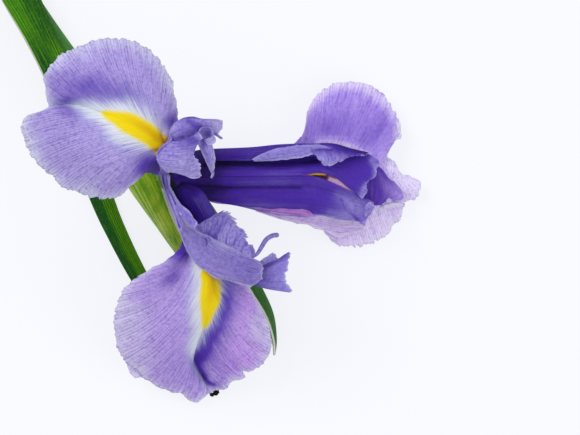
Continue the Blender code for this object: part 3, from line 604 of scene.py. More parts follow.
def style_right():
    first, middle, last = ribbon("right", STYLE_SEAT, 0.8)
    piece = Piece("style_right_roof")
    upper = [
        [middle, (8.7, 0.2, 15), (18.4, 0.3, 16), (26.2, 0.4, 15.8), (33.1, 0.6, 15.2), (37, 1.2, 14.9),
         (40.7, 0.3, 13.8), (43.8, -2, 12.6), (47.3, -5, 11.4)],
        [middle, (8.7, 2.2, 14.6), (18.4, 2.2, 15.2), (26.2, 2.2, 15), (33.1, 2.2, 14.8), (37.7, 2.2, 14.8),
         (43.3, 0.1, 13.5), (46.3, -2.1, 12.6), (48.8, -3.3, 11.5)],
        [last, (8.6, 3.5, 13.4), (18.4, 3.5, 13.6), (26.2, 3.6, 13.4), (33.1, 3.9, 13.4), (38.5, 3.6, 13.6),
         (43.3, 2.1, 13.4), (46.3, 0.3, 12.8), (48.6, -1.1, 11.9)],
        [last, (8.6, 4.4, 12.4), (18.4, 4.5, 12.4), (26.2, 4.8, 12.2), (33.1, 5.1, 12.4), (38.5, 4.9, 12.8),
         (44.1, 3.7, 12.8), (47.8, 1.9, 12.3), (50.7, 0, 11.4)],
        [last, (8.6, 5.1, 11.5), (18.4, 5.4, 11.2), (26.2, 5.6, 11.2), (33.1, 6.1, 11.4), (38.5, 6, 11.8),
         (44.6, 5.1, 12), (48.5, 4.2, 11.7), (51.3, 2.2, 11)],
        [last, (8.6, 5.6, 11), (18.4, 6.1, 10.8), (26.2, 6.5, 10.8), (33.1, 6.9, 10.8), (38.5, 6.9, 10.9),
         (44.6, 6.4, 11.2), (48.5, 6.1, 11), (51.6, 4.3, 10.5)],
    ]
    # Painted shade and highlight: the dark bands along the roof's valleys and the dark spot at its base are
    # painted shade; the paler band along its ridge is a painted highlight.
    strip(piece, upper, rows=110, columns=50, veins=14, seed=5, end_teeth=0.3, deep=0.85, gather=0.3,
          rims="end",
          bands=[([(10.3, 3.6), (20.1, 3.4), (29.9, 3.4), (37.3, 4.2)], 0.8, 0.7),
                 ([(14, 0.9), (22.5, 0.9), (32.4, 1)], 0.5, -0.15),
                 ([(10.3, 2.2), (20.1, 2), (29.9, 2.2)], 0.3, 0.25),
                 ([(50, 4.4), (51, 2.5), (50.5, -1), (48.5, -2), (47.5, -4.7)], 1, -0.7)],
          spots=[(8.8, 1.5, 7, 1), (35.3, 2.5, 3, 0.2), (43.4, 4.4, 4, 0.15)])
    lower = [
        [middle, (8.7, 0.1, 15), (18.4, 0.2, 15.9), (26.2, 0.3, 15.7), (33.1, 0.4, 15.1), (36.3, 0.2, 14.5),
         (39.9, -1, 13.2), (43.9, -2.9, 11.8), (47.8, -5.3, 10.4)],
        [middle, (8.6, -1, 14.2), (18.4, -1, 14.8), (26.2, -1, 14.5), (33.1, -1, 14), (38.5, -2, 13.2),
         (43.4, -3.8, 12), (46.8, -5, 11), (49.8, -5.7, 9.8)],
        [first, (8.6, -2.2, 12.8), (18.4, -2.2, 13), (26.2, -2.3, 12.6), (33.1, -2.5, 12.4),
         (38.5, -3.4, 12.2), (44.1, -5.4, 11.4), (47.6, -6.5, 10.6), (50.5, -6.9, 9.5)],
        [first, (8.6, -3.9, 12.9), (18.4, -4.3, 12.8), (26.2, -4.8, 12.4), (33.1, -5.2, 11.8),
         (38.5, -6.4, 11.2), (43.4, -7.6, 10.4), (46.6, -8.5, 9.6), (49.7, -8.7, 8.9)],
        [first, (5.4, -4.4, 12), (8.6, -5.1, 11.5), (13.5, -6.1, 11.1), (18.4, -6.9, 10.8),
         (26.2, -7.4, 10.3), (33.1, -7.5, 9.8), (34.7, -7.8, 9.6), (35.8, -9, 9.4), (38.3, -9.1, 9),
         (41.9, -10, 8.6), (45.9, -10.4, 8.2), (48.1, -11.7, 7.8)],
    ]
    # As above: the dark bands along the valleys and the dark spot at the base are painted shade; the paler
    # band along the ridge is a painted highlight.
    strip(piece, lower, rows=130, columns=50, veins=14, seed=7, end_teeth=0.2, side_teeth=0.25, deep=0.85,
          gather=0.3, rims="end",
          bands=[([(10.3, -2.3), (22.5, -2.3), (32.4, -2.3)], 0.45, 0.8),
                 ([(14, -1), (22.5, -1), (32.4, -1)], 0.9, -0.2),
                 ([(14, -3.4), (22.5, -3.7), (29.9, -3.9)], 1, 0.15),
                 ([(17.6, -6), (27.5, -6.7), (33.6, -6.9)], 1, -0.12),
                 ([(35.8, -9.1), (38.2, -9.2), (41.9, -10)], 0.3, -0.9),
                 ([(42.4, -4.9), (43.6, -7.6), (46.3, -10.2)], 0.35, 0.35),
                 ([(43.6, -6.1), (45.1, -8.6), (47.5, -10.8)], 0.3, 0.3),
                 ([(39.7, -8.3), (42.2, -9.1), (44.6, -9.6)], 1.2, -0.35),
                 ([(41.4, -3.7), (43.4, -5.6), (44.4, -7.8)], 0.9, -0.25)],
          spots=[(46.3, -7.8, 4, -0.5), (43.4, -5.4, 4, -0.2), (9.3, -2.9, 6, 1), (33.6, -5.4, 6, 0.15),
                 (47.8, -11.5, 1, -0.8)])
    curl = [
        [(47.9, -7.1, 9.9), (48.5, -6.5, 10.4), (49.6, -5.9, 10.5), (50.5, -7, 10.2)],
        [(48.2, -8, 9.6), (48.8, -7.4, 10.2), (49.6, -7.1, 10.2), (50.1, -7.7, 9.9)],
        [(48.3, -9.6, 9), (49, -9, 9.4), (49.4, -8.7, 9.6), (50, -8, 9.7)],
    ]
    strip(piece, curl, rows=24, columns=18, veins=3, seed=49, deep=0.2, rims="",
          bands=[([(47.9, -7.2), (48.5, -6.6), (49.6, -6), (50.4, -7)], 0.28, -0.8),
                 ([(48, -8.3), (48.5, -9.5)], 0.28, -0.6)])
    return piece.make()


def style_right_lining():
    """The pale haft seen through the slit between the style's two crests."""
    piece = Piece("style_right_lining")
    lining = [
        [(35.5, 1.2, 13.8), (40.7, 0.6, 13), (44.1, -1.8, 11.9), (47.1, -4.3, 10.8)],
        [(35.5, 0.2, 13.3), (40.2, -1, 12.6), (43.6, -3.1, 11.4), (46.8, -5, 10.4)],
        [(35.5, -0.8, 12.8), (39.9, -2.2, 11.8), (43.4, -4.2, 10.6), (46.6, -5.9, 9.6)],
    ]
    strip(piece, lining, rows=60, columns=16, veins=5, seed=51, deep=0, rims="",
          bands=[([(35.5, 0.4), (37, 0.3), (38.5, 0)], 0.55, 2.2), ([(39, 0.8), (40.9, 0.2)], 0.45, 0.8),
                 ([(37.7, 0.2), (39, 0)], 0.4, 0.6)])
    return piece.make()


def bright_fold():
    """The fold of the right fall's lower half that shows along the style."""
    piece = Piece("fall_right_fold")
    fold = [
        [(20.1, -5.9, 9), (26.2, -6.9, 9), (29.9, -7, 8.8), (33.1, -7.2, 8.6), (35.6, -8.2, 8.2)],
        [(19.8, -7, 8.5), (26.2, -8.3, 8.2), (29.9, -8.8, 7.9), (33.1, -9.1, 7.6), (36.3, -9.5, 7.2)],
    ]
    strip(piece, fold, rows=50, columns=10, veins=3, seed=57, deep=0.05, rims="",
          bands=[([(23, -7.8), (28.7, -8.7), (33.1, -9.1)], 0.3, 0.5)])
    return piece.make()


def signal_glimpse():
    """The yellow of the right fall, where it shows through the slit."""
    piece = Piece("fall_right_glimpse")
    glimpse = [
        [(33.6, 1.3, 14.5), (35.3, 1.5, 14.4), (37.2, 1.6, 14.3), (38.6, 1.4, 14.1)],
        [(34.1, 0.6, 14.3), (35.5, 0.7, 14.2), (37.2, 0.7, 14.1), (38.6, 0.7, 13.9)],
    ]
    strip(piece, glimpse, rows=24, columns=6, veins=3, seed=53, rims="end")
    return piece.make()


def style_lower():
    first, middle, _ = ribbon("lower", STYLE_SEAT, 0.8)
    piece = Piece("style_lower_roof")
    near_wing = [
        [middle, (2.2, -5, 17), (3.2, -8.3, 22.3), (6.2, -12.2, 26), (9.8, -13.8, 28.4), (11.9, -15, 29.3),
         (15.2, -16.5, 30), (18, -18.1, 30), (21.1, -19.5, 29.6), (23, -20.5, 29)],
        [middle, (1.9, -5.6, 17.8), (2.9, -8.8, 22.8), (5.5, -12.9, 26.8), (9, -15.3, 29.2),
         (11.4, -17, 30.2), (14.8, -18.7, 30.8), (17.9, -20.1, 30.7), (21, -21.2, 30), (23.5, -22, 29)],
        [middle, (1.7, -6, 18.2), (2.7, -9.3, 23), (4.7, -13.7, 27.4), (7.4, -17, 29.8), (10, -19.2, 30.8),
         (13.3, -20.8, 31.2), (16.9, -22.3, 30.9), (20, -23.3, 30), (23.3, -23.4, 28.8)],
        [first, (1.4, -6.6, 18.6), (2.6, -10, 23), (4.1, -14.1, 27), (5.9, -18, 29.6), (8.3, -20.9, 30.8),
         (11.5, -22.6, 31.3), (15.3, -23.8, 31.1), (19.1, -24.8, 30), (22.6, -24.8, 28.7)],
        [first, (1.2, -7, 18.8), (2.6, -10.5, 22.8), (3.7, -14.1, 26.6), (5.2, -17.5, 29), (7.3, -20.7, 30),
         (11.2, -23.7, 30.4), (14.5, -24.6, 30.4), (18, -25.7, 29.8), (20.3, -26.5, 29)],
    ]
    strip(piece, near_wing, rows=90, columns=60, veins=16, seed=9, end_teeth=0.35, side_teeth=0.1,
          deep=0.05, waves=0.3,
          bands=[([(5.4, -12.3), (9.1, -14.7), (14.7, -17.6), (20.1, -20.1)], 0.8, 0.2),
                 ([(6.9, -16.4), (8.6, -19.6), (11.3, -21.6)], 2, 0.12),
                 ([(9.3, -15), (9.6, -15.9), (9.3, -16.7)], 0.22, 0.7),
                 ([(10, -14.5), (10.4, -15.4)], 0.2, 0.6)],
          spots=[(3.2, -11.3, 3, -0.25), (18.9, -21.3, 4, 0.15), (7.8, -18.1, 5, -0.1),
                 (15.7, -25, 4, 0.2)])
    far_crest = [
        [(5.2, -11.3, 22), (7.2, -13.1, 25.4), (8.9, -14, 27), (10.9, -15.1, 28.2), (13.1, -16.2, 29),
         (15.7, -17.5, 29.4), (18.4, -18.8, 29.4), (20.5, -19.8, 29.1)],
        [(5.4, -10.8, 21.6), (7.3, -12.2, 25), (8.9, -12.6, 26.5), (11.1, -12.9, 27.8), (13.3, -13.7, 28.7),
         (15.8, -15.3, 29.2), (18.4, -17.3, 29.2), (20.8, -19.4, 28.9)],
        [(5.4, -10.5, 21.2), (7.4, -11.9, 24.8), (9.3, -11.6, 26.2), (11.6, -10.9, 27.3), (14, -11.5, 28.2),
         (16.4, -13.4, 28.8), (18.8, -16.1, 28.9), (21, -19.1, 28.7)],
        [(5.6, -10.3, 20.8), (7.5, -11.6, 24.6), (9.4, -10.9, 26), (11.9, -9.6, 26.9), (14.5, -9.9, 27.7),
         (17, -12.1, 28.4), (19.3, -15.2, 28.5), (21.2, -18.7, 28.5)],
        [(5.6, -10, 20.5), (7.7, -11.4, 24.4), (9.5, -10.6, 25.8), (12, -8.9, 26.4), (13.9, -8, 26.8),
         (16.7, -9.2, 27.2), (16.5, -11.1, 27.6), (18.2, -12.3, 27.9), (19.4, -14.1, 28.1),
         (20.2, -15.9, 28.2), (21.4, -18.1, 28.3)],
    ]
    # The dark band along the near wing's edge is painted shade, cast by that wing.
    strip(piece, far_crest, rows=150, columns=40, veins=9, seed=11, side_teeth=1, deep=0, waves=0.6,
          across_it=True, crimp=0.1,
          bands=[([(7.6, -12.7), (11, -14.8), (16.2, -17.5)], 1, 0.45),
                 ([(11.3, -14.5), (12.7, -12.3), (15, -10)], 0.8, 0.45),
                 ([(9.8, -13.5), (11.8, -11.3), (13.5, -8.8)], 0.6, 0.25),
                 ([(15, -16.7), (16.7, -15), (17.9, -13.2)], 0.5, 0.3),
                 ([(12.5, -15.2), (14.2, -13.2), (15.9, -11.8)], 0.8, -0.35)],
          spots=[(14.2, -8.8, 2, -0.25), (19.1, -17.6, 3, 0.15)])
    tendril = smooth_line([(19.1, -19.5, 29), (20.7, -19.2, 29.2), (22.1, -18.3, 29.2),
                           (23.1, -16.7, 29), (24.2, -15.0, 28.8), (25.6, -14.1, 28.6),
                           (26.9, -13.9, 28.4)], 8)
    place = np.linspace(0, 1, len(tendril))
    tube(piece, tendril, 0.24 + 0.16 * fade(0.2, 0.6, place), sides=10, squash=0.5)
    return piece.make()


def style_left():
    first, middle, last = ribbon("left", STYLE_SEAT, 0.8)
    piece = Piece("style_left_roof")
    back = [
        [first, (-1.9, 0.4, 22), (-1.8, 1, 31), (-0.8, 1.8, 41), (-1.4, 4.2, 45.5), (-1.1, 6.5, 47.6)],
        [middle, (-0.5, 1.9, 22), (0.1, 3.5, 31.5), (0.9, 4.7, 41), (0.8, 7, 46), (1.9, 8.5, 48.8)],
        [last, (0.9, 3.6, 22), (1.9, 6.2, 31), (3.5, 7.3, 40), (1.7, 9.1, 44.2), (1.4, 10.5, 46)],
    ]
    strip(piece, back, rows=50, columns=30, veins=10, seed=13, deep=0, rims="",
          bands=[([(2, 9.1), (2.7, 10), (3.2, 10)], 0.45, 0.5)])
    lower_lobe = [
        [(1.2, 8.1, 47.6), (2.5, 8.2, 48.6), (3.7, 8.2, 49.2), (5.1, 8.4, 49.8), (6.4, 9.1, 50.3),
         (7.5, 9.8, 50.6), (8.3, 10.4, 50.6), (9, 9.7, 50.4)],
        [(0, 7.5, 47), (1.5, 7.5, 48.8), (3, 7.5, 49.6), (4.4, 7.7, 50.1), (5.9, 8.1, 50.4),
         (7.2, 8.6, 50.6), (8.1, 9, 50.6), (9.3, 9.1, 50.3)],
        [(-0.8, 6.5, 46.4), (0.8, 6.3, 48.6), (2.6, 6.4, 49.8), (4.3, 6.6, 50.2), (6, 6.9, 50.3),
         (7.3, 7.4, 50.3), (8.1, 8, 50.2), (8.7, 8.3, 50)],
        [(-1.4, 5.4, 46), (0.3, 5.2, 48.4), (2.2, 5.2, 49.6), (4, 5.2, 50), (5.7, 5.5, 49.9),
         (6.9, 6, 49.8), (7.6, 6.7, 49.8), (7.9, 7.1, 49.7)],
        [(-1.6, 4.4, 45.8), (0.2, 3.9, 48.2), (2.2, 3.6, 49.2), (4.1, 3.7, 49.5), (5.7, 4, 49.3),
         (6.8, 4.6, 49), (7.2, 5.5, 48.8)],
        [(-1.2, 3.3, 45.8), (0.4, 2.9, 47.8), (2.4, 2.6, 48.6), (4.4, 2.7, 48.8), (6.1, 3, 48.6),
         (7.1, 3.5, 48.3), (7.8, 4.3, 48)],
        [(-0.6, 2.4, 45.8), (1.1, 2.1, 47.2), (3, 1.8, 47.9), (5, 1.8, 48), (6.6, 2.2, 47.8),
         (7.6, 2.7, 47.5), (8.4, 3.1, 47.2)],
        [(-0.2, 2, 45.8), (1.4, 1.6, 46.8), (3.4, 1.4, 47.4), (5.3, 1.2, 47.4), (7.1, 1.3, 47.1),
         (8.4, 1.6, 46.8), (9.5, 1.9, 46.5)],
        [(0.1, 1.7, 45.8), (1.5, 1.4, 46.6), (3.4, 1.1, 47.1), (5.3, 0.9, 47), (6.8, 0.9, 46.8),
         (8, 1.1, 46.6), (8.7, 1.3, 46.4)],
        [(0.6, 1.3, 45.9), (1.6, 1.3, 46.5), (3.4, 0.9, 46.9), (5.1, 0.5, 46.8), (6.6, 0.3, 46.6),
         (7.9, 0.3, 46.3), (9.1, 0.5, 46.1)],
        [(1.2, 1, 46), (1.8, 1.1, 46.4), (3.4, 0.8, 46.6), (5, 0.3, 46.5), (6.3, -0.3, 46.3),
         (7.3, -0.5, 46.1), (8, -0.3, 45.9), (8.5, -0.1, 45.8)],
    ]
    strip(piece, lower_lobe, rows=90, columns=100, veins=13, seed=15, end_teeth=0.5, deep=-0.2, waves=0.22,
          crimp=0.02, rims="end last",
          bands=[([(1.7, 8.6), (4.1, 8.8), (6, 9.8)], 0.9, 0.4),
                 ([(3.2, 7.6), (5.1, 7.7), (6.9, 9)], 1, 0.3),
                 ([(7.6, 11.1), (7.9, 10.3), (8.3, 9.7)], 0.3, -0.7)],
          spots=[(-1.3, 6.8, 2.5, 0.2), (3.8, 2.8, 6, -0.35), (6.2, 9.5, 3.5, 0.45), (1.3, 7.6, 3, 0.1)])
    upper_lobe = [
        [(1.4, 8.3, 46.4), (2.8, 8.3, 47.2), (4.2, 8.4, 48), (5.8, 8.9, 48.6), (7.4, 9.6, 49),
         (8.7, 10.3, 49.2), (10, 10.9, 49.2), (11.4, 10.6, 49), (12, 10.1, 48.7), (12.5, 9.8, 48.5)],
        [(1.4, 9.2, 46.2), (2.7, 9.7, 48), (4.3, 10.2, 49), (6.1, 10.7, 49.6), (7.8, 11.2, 49.8),
         (9.5, 11.8, 49.8), (11.1, 11.8, 49.4), (12.4, 10.9, 48.8), (13, 10.2, 48.4)],
        [(1.4, 10.1, 46), (2.5, 11.2, 48.2), (4.3, 11.8, 49.4), (6.1, 12.2, 50), (8.1, 12.3, 50),
         (10.1, 12.5, 49.8), (11.6, 12.2, 49.2), (12.9, 11.4, 48.6), (13.6, 10.8, 48.2)],
        [(1.6, 10.9, 45.8), (2.8, 12.3, 47.6), (4.5, 13.2, 48.8), (6.4, 13.3, 49.4), (8.3, 13.2, 49.4),
         (10.2, 13.1, 49.2), (11.9, 13, 48.8), (13.2, 12.5, 48.4), (13.9, 11.9, 48)],
        [(1.9, 11.5, 45.6), (2.5, 12.4, 46.6), (3.6, 13.2, 47.4), (5, 13.8, 48), (6.9, 14, 48.4),
         (8.7, 13.6, 48.4), (10.7, 13.5, 48.4), (12.6, 13.5, 48.2), (14, 13.2, 48)],
    ]
    strip(piece, upper_lobe, rows=90, columns=56, veins=12, seed=17, end_teeth=0.3, deep=0.08, waves=0.2,
          crimp=0.02, rims="end",
          bands=[([(1.3, 10.7), (3.2, 11.1), (6, 11.3), (7.3, 11.7)], 1.3, 0.3),
                 ([(5.1, 13.9), (6.9, 12.7), (7.9, 12.7)], 0.8, 0.45),
                 ([(2.1, 9.7), (3, 9.9), (3.6, 10)], 0.5, 0.5),
                 ([(3.8, 14.6), (6, 14.8), (7.9, 14.5), (10.6, 14.4)], 0.35, 0.4),
                 ([(0.4, 9.2), (0.5, 10.7), (1.5, 12.5)], 0.45, -0.45)],
          spots=[(12.2, 12.7, 3.5, -0.9), (1.3, 11.7, 1.8, -0.2), (6, 11.7, 5, 0.2), (2, 9.1, 1.6, -0.3)])
    hook = smooth_line([(12.3, 10.0, 48.6), (12.9, 9.6, 48.5), (13.4, 9.2, 48.4), (13.8, 9.0, 48.4)], 6)
    tube(piece, hook, np.linspace(0.2, 0.1, len(hook)), sides=8, squash=0.6)
    cup = [
        [(8.4, 10.5, 50.2), (8.9, 11.2, 50.3), (9.8, 11.6, 50.3), (11, 11.5, 50.1), (11.7, 10.8, 49.9),
         (11.9, 9.8, 49.7)],
        [(8.7, 10.2, 49.4), (9.2, 10.7, 48.8), (10, 10.9, 48.5), (10.8, 10.8, 48.5), (11.3, 10.4, 48.8),
         (11.7, 9.6, 49.2)],
        [(9, 9.6, 49.2), (9.4, 9.7, 48.4), (10, 9.8, 48), (10.7, 9.8, 48), (11.2, 9.6, 48.4),
         (11.6, 9.4, 48.8)],
        [(9.3, 8.8, 49), (9.6, 8.8, 48.5), (10.1, 8.8, 48.2), (10.6, 9, 48.2), (11.1, 9.1, 48.5),
         (11.5, 9.2, 48.9)],
    ]
    # The cup's darker middle is painted shade in its hollow.
    strip(piece, cup, rows=40, columns=30, veins=5, seed=19, deep=0.05, rims="",
          bands=[([(7.7, 11.5), (8.2, 12.1), (9, 12.5), (9.9, 12.4)], 0.4, 0.25),
                 ([(10.5, 12.1), (10.9, 11.3), (11.1, 10.5)], 0.3, -0.8)],
          spots=[(10.1, 10.6, 1.5, 0.35)])
    small_lobe = [
        [(9.8, 8.8, 48.6), (10.6, 8.9, 49), (11.2, 9.1, 49.4), (11.7, 9.5, 49.7), (11.9, 9.9, 49.8)],
        [(9.9, 8.4, 48.7), (10.6, 8.2, 49.2), (11.2, 8.3, 49.6), (11.8, 8.8, 49.8), (12.1, 9.4, 49.8)],
        [(10.2, 7.9, 48.6), (10.6, 7.6, 49), (11.2, 7.4, 49.3), (11.9, 7.8, 49.5), (12.3, 8.4, 49.6),
         (12.2, 9.2, 49.7)],
    ]
    strip(piece, small_lobe, rows=36, columns=20, veins=4, seed=21, deep=-0.35, side_teeth=0.15)
    hanging = [
        [(8.1, 7.7, 48.4), (8.8, 6.4, 48), (9.9, 4.1, 47), (10.8, 2.1, 46.2), (11.4, 0.9, 45.7),
         (11.4, 0.3, 45.5), (11.2, -0.2, 45.3)],
        [(9.2, 8.8, 48.8), (9.9, 6.4, 48.2), (10.7, 4.1, 47.3), (11.2, 2.1, 46.5), (11.6, 0.9, 45.9),
         (11.6, 0.3, 45.6), (11.3, -0.2, 45.3)],
        [(10.6, 8.8, 48.6), (11.1, 6.4, 48.2), (11.7, 4.3, 47.4), (11.7, 2.2, 46.7), (11.7, 1.2, 46.1),
         (11.8, 0.3, 45.7), (11.3, -0.2, 45.3)],
        [(11.4, 8, 48.4), (11.7, 7.1, 48.2), (12, 5.6, 47.8), (12.3, 4.2, 47.3), (12, 3.2, 46.9),
         (12, 2.1, 46.5), (11.7, 1.6, 46.2), (11.8, 0.4, 45.7), (11.3, -0.3, 45.3)],
    ]
    strip(piece, hanging, rows=70, columns=24, veins=7, seed=23, side_teeth=0.12, deep=0.15,
          bands=[([(8.6, 9.5), (8.9, 8.3)], 0.8, 0.6), ([(8.2, 7.6), (9.4, 4.9), (10.5, 1.9)], 0.8, 0.4),
                 ([(11.2, 6.8), (11.2, 4), (10.9, 1.5)], 0.6, -0.4)])
    return piece.make()


# ---------------------------------------------------------------- standards


def standard_upper():
    piece = Piece("standard_upper_strap")
    start = seat("lower", STANDARD_SEAT, -1)
    strap = [
        [start + (0.3, -0.9, 0.5), (5.5, 2.7, 14.2), (11.4, 4.1, 15.6), (20.4, 4.2, 16.6),
         (27.5, 4.3, 16.4), (34, 5.1, 16.2), (40.4, 5.5, 15), (45.1, 5.5, 14), (48.5, 5.5, 12.9)],
        [start, (5.5, 3.6, 14.4), (11.4, 5.4, 15.2), (20.4, 5.7, 15.8), (27.5, 6.1, 15.6),
         (34.1, 6.7, 15.4), (40.4, 6.7, 14.4), (45.1, 6.2, 13.6), (48.7, 5.7, 12.7)],
        [start + (-0.3, 0.9, -0.5), (4.5, 5.6, 12.6), (7.4, 6.7, 12.6), (11.3, 7, 12.2), (20.4, 7.4, 11.8),
         (27.5, 8.1, 11.4), (36.5, 8.4, 11.2), (40.7, 8.3, 11.7), (44.3, 7.3, 12), (49.2, 6.1, 12.4)],
    ]
    strip(piece, strap, rows=100, columns=34, veins=9, seed=25, deep=1, rims="end",
          spots=[(37.7, 7.8, 4, -0.7), (9.3, 5.1, 7, 0.7), (17.6, 6.6, 8, -0.1), (45.1, 6.4, 6, 0.35)],
          bands=[([(13.2, 4.2), (20.1, 4.2)], 0.25, -0.5),
                 ([(13.2, 5.1), (20.1, 5.1), (26.2, 5.4)], 0.8, -0.15),
                 ([(37.7, 8.3), (41.2, 8.2), (43.6, 7.6)], 0.5, 0.8)])
    frill = [
        [(20.6, 4.4, 17), (23.1, 5.8, 17.2), (26, 6.9, 17), (29.9, 7.6, 16.6), (33.1, 7.9, 16),
         (35.3, 7.9, 15.4), (38.2, 7.8, 14.6)],
        [(20.9, 4.3, 17.2), (23.6, 5.3, 17.6), (26.7, 6.1, 17.6), (30.4, 6.8, 17.4), (33.6, 7.3, 16.8),
         (36.5, 7.3, 16), (39.4, 7, 15)],
        [(21.1, 4.2, 17.2), (24.1, 4.7, 17.8), (27, 5.2, 17.8), (30.9, 5.7, 17.6), (33.8, 6.3, 17.2),
         (36.5, 6.7, 16.4), (40.2, 6.5, 15.4)],
        [(21.1, 4.1, 17), (24.1, 4.2, 17.4), (27, 4.3, 17.4), (30.9, 4.6, 17.4), (33.8, 5.2, 17.2),
         (36.2, 5.7, 16.8), (40.6, 6.1, 15.6)],
    ]
    strip(piece, frill, rows=80, columns=30, veins=7, seed=27, side_teeth=0.15, first_teeth=0.25,
          deep=-0.05, waves=0.15, spots=[(38.7, 6.9, 3, 0.3), (25, 5.4, 4, 0.1)])
    curl = [
        [(35, 6.8, 16.8), (37.2, 6.9, 16.9), (39.7, 6.9, 16.6), (42.3, 6.7, 15.8), (45, 6.2, 14.8),
         (47.7, 5.7, 13.6)],
        [(35.6, 5.9, 17.4), (37.4, 5.8, 17.6), (39.9, 5.8, 17.2), (42.3, 6, 16.3), (45, 5.8, 15.1),
         (47.9, 5.6, 13.7)],
        [(36.3, 5.6, 17.6), (37.2, 4.5, 17.8), (39.8, 4.4, 17.4), (42.1, 4.9, 16.6), (43.9, 5.4, 15.9),
         (45.5, 5.5, 15), (48, 5.5, 13.7)],
        [(36.2, 5.5, 17.2), (37, 4.6, 17), (37.7, 3.7, 16.6), (38.3, 3.1, 16.5), (40, 3.1, 16.3),
         (41.3, 3.8, 16), (42.1, 3.9, 15.9), (43, 4.7, 15.6), (43.7, 5.1, 15.5), (45, 5.6, 15.2),
         (48.1, 5.3, 13.6)],
    ]
    strip(piece, curl, rows=110, columns=36, veins=11, seed=29, side_teeth=0.25, deep=0.45, waves=0.12,
          across_it=True, crimp=0.1, rims="last",
          bands=[([(36.8, 7.4), (40.9, 7.1), (45.1, 6.4), (48, 5.6)], 1, 0.5),
                 ([(37.2, 4.1), (38.3, 3.4), (40.1, 3.4), (42.1, 4.3)], 1.2, -0.55)])
    return piece.make()


def standard_right():
    piece = Piece("standard_right_strap")
    start = seat("left", STANDARD_SEAT, -1)
    side = np.array((0.5, 0.75, 0.4))
    arch = [
        [start - side, (1.2, -2.2, 10.4), (2.2, -5.2, 11.6), (4.4, -9.4, 11.6), (7.5, -13.4, 12),
         (12.5, -19.5, 14), (19.2, -24.9, 19.5), (23.1, -26.6, 24), (29.7, -27.7, 25)],
        [start - side * 0.5, (2.2, -2.6, 11.8), (4.4, -5.6, 13.6), (6.6, -9.8, 13.4), (9.2, -13.8, 13.6),
         (13.8, -18.8, 15.8), (19.5, -23.6, 21), (23.6, -24.9, 25.2), (29.5, -25, 26)],
        [start, (3.2, -2.4, 12.8), (6.4, -5.2, 14.8), (8.8, -9.6, 14.8), (11.2, -13.7, 14.8),
         (15, -18, 16.8), (19.7, -22.4, 21.8), (24.1, -23.1, 25.4), (29.2, -23, 26.2)],
        [start + side * 0.5, (3.8, -1.8, 12.8), (7.6, -4.2, 14.8), (10.2, -8.8, 14.8), (12.6, -13, 14.6),
         (16, -17.2, 16.8), (20.2, -21.4, 21.6), (24.3, -21.6, 25), (29.7, -20.9, 25.6)],
        [start + side, (4.2, -1.2, 12.2), (8.4, -3.2, 13.8), (11.2, -7.8, 13.6), (13.6, -12.2, 13.4),
         (16.9, -16.6, 16.4), (20.2, -20.5, 21), (25.1, -20.6, 24.6), (30, -17.8, 24.6)],
    ]
    # Painted shade and highlight: the near-black bands along its left edge and at its start are painted
    # shadow; the paler band beside them is a painted highlight.
    strip(piece, arch, rows=110, columns=50, veins=14, seed=31, end_teeth=0.7, deep=0.85, side_teeth=0.05,
          rims="end",
          bands=[([(0.5, -1), (1.5, -4.4), (3.4, -7.4), (5.9, -10.3)], 1.9, 1.1),
                 ([(1, -0.5), (3.9, -1.5), (6.1, -2.9)], 1.5, 0.9),
                 ([(5.4, -2.9), (7.4, -5.4), (9.3, -8.6)], 1.4, -0.2),
                 ([(24, -22.1), (26.5, -20.6), (28.4, -19.1)], 0.6, 0.4),
                 ([(23, -24.5), (26.5, -25.5), (29.4, -26)], 0.5, 0.3)],
          spots=[(26.7, -23.8, 6, -0.85), (28.9, -27, 3.5, -0.4), (27.5, -19.6, 3, -0.2),
                 (21.6, -24.5, 3, -0.1)])
    far_edge = [
        [(21.4, -22, 24), (23.4, -21.9, 24.2), (25.3, -21.4, 24.4), (27.5, -20.2, 24.4)],
        [(22.2, -21.2, 24.2), (23.9, -20.4, 24.4), (25.6, -19.8, 24.6), (27.2, -19.8, 24.6)],
        [(22.6, -20.4, 24.4), (24, -19.2, 24.6), (25.9, -18.3, 24.8), (26.9, -19.6, 24.6)],
    ]
    strip(piece, far_edge, rows=40, columns=14, veins=7, seed=33, side_teeth=0.3, deep=-0.45,
          across_it=True)
    return piece.make()


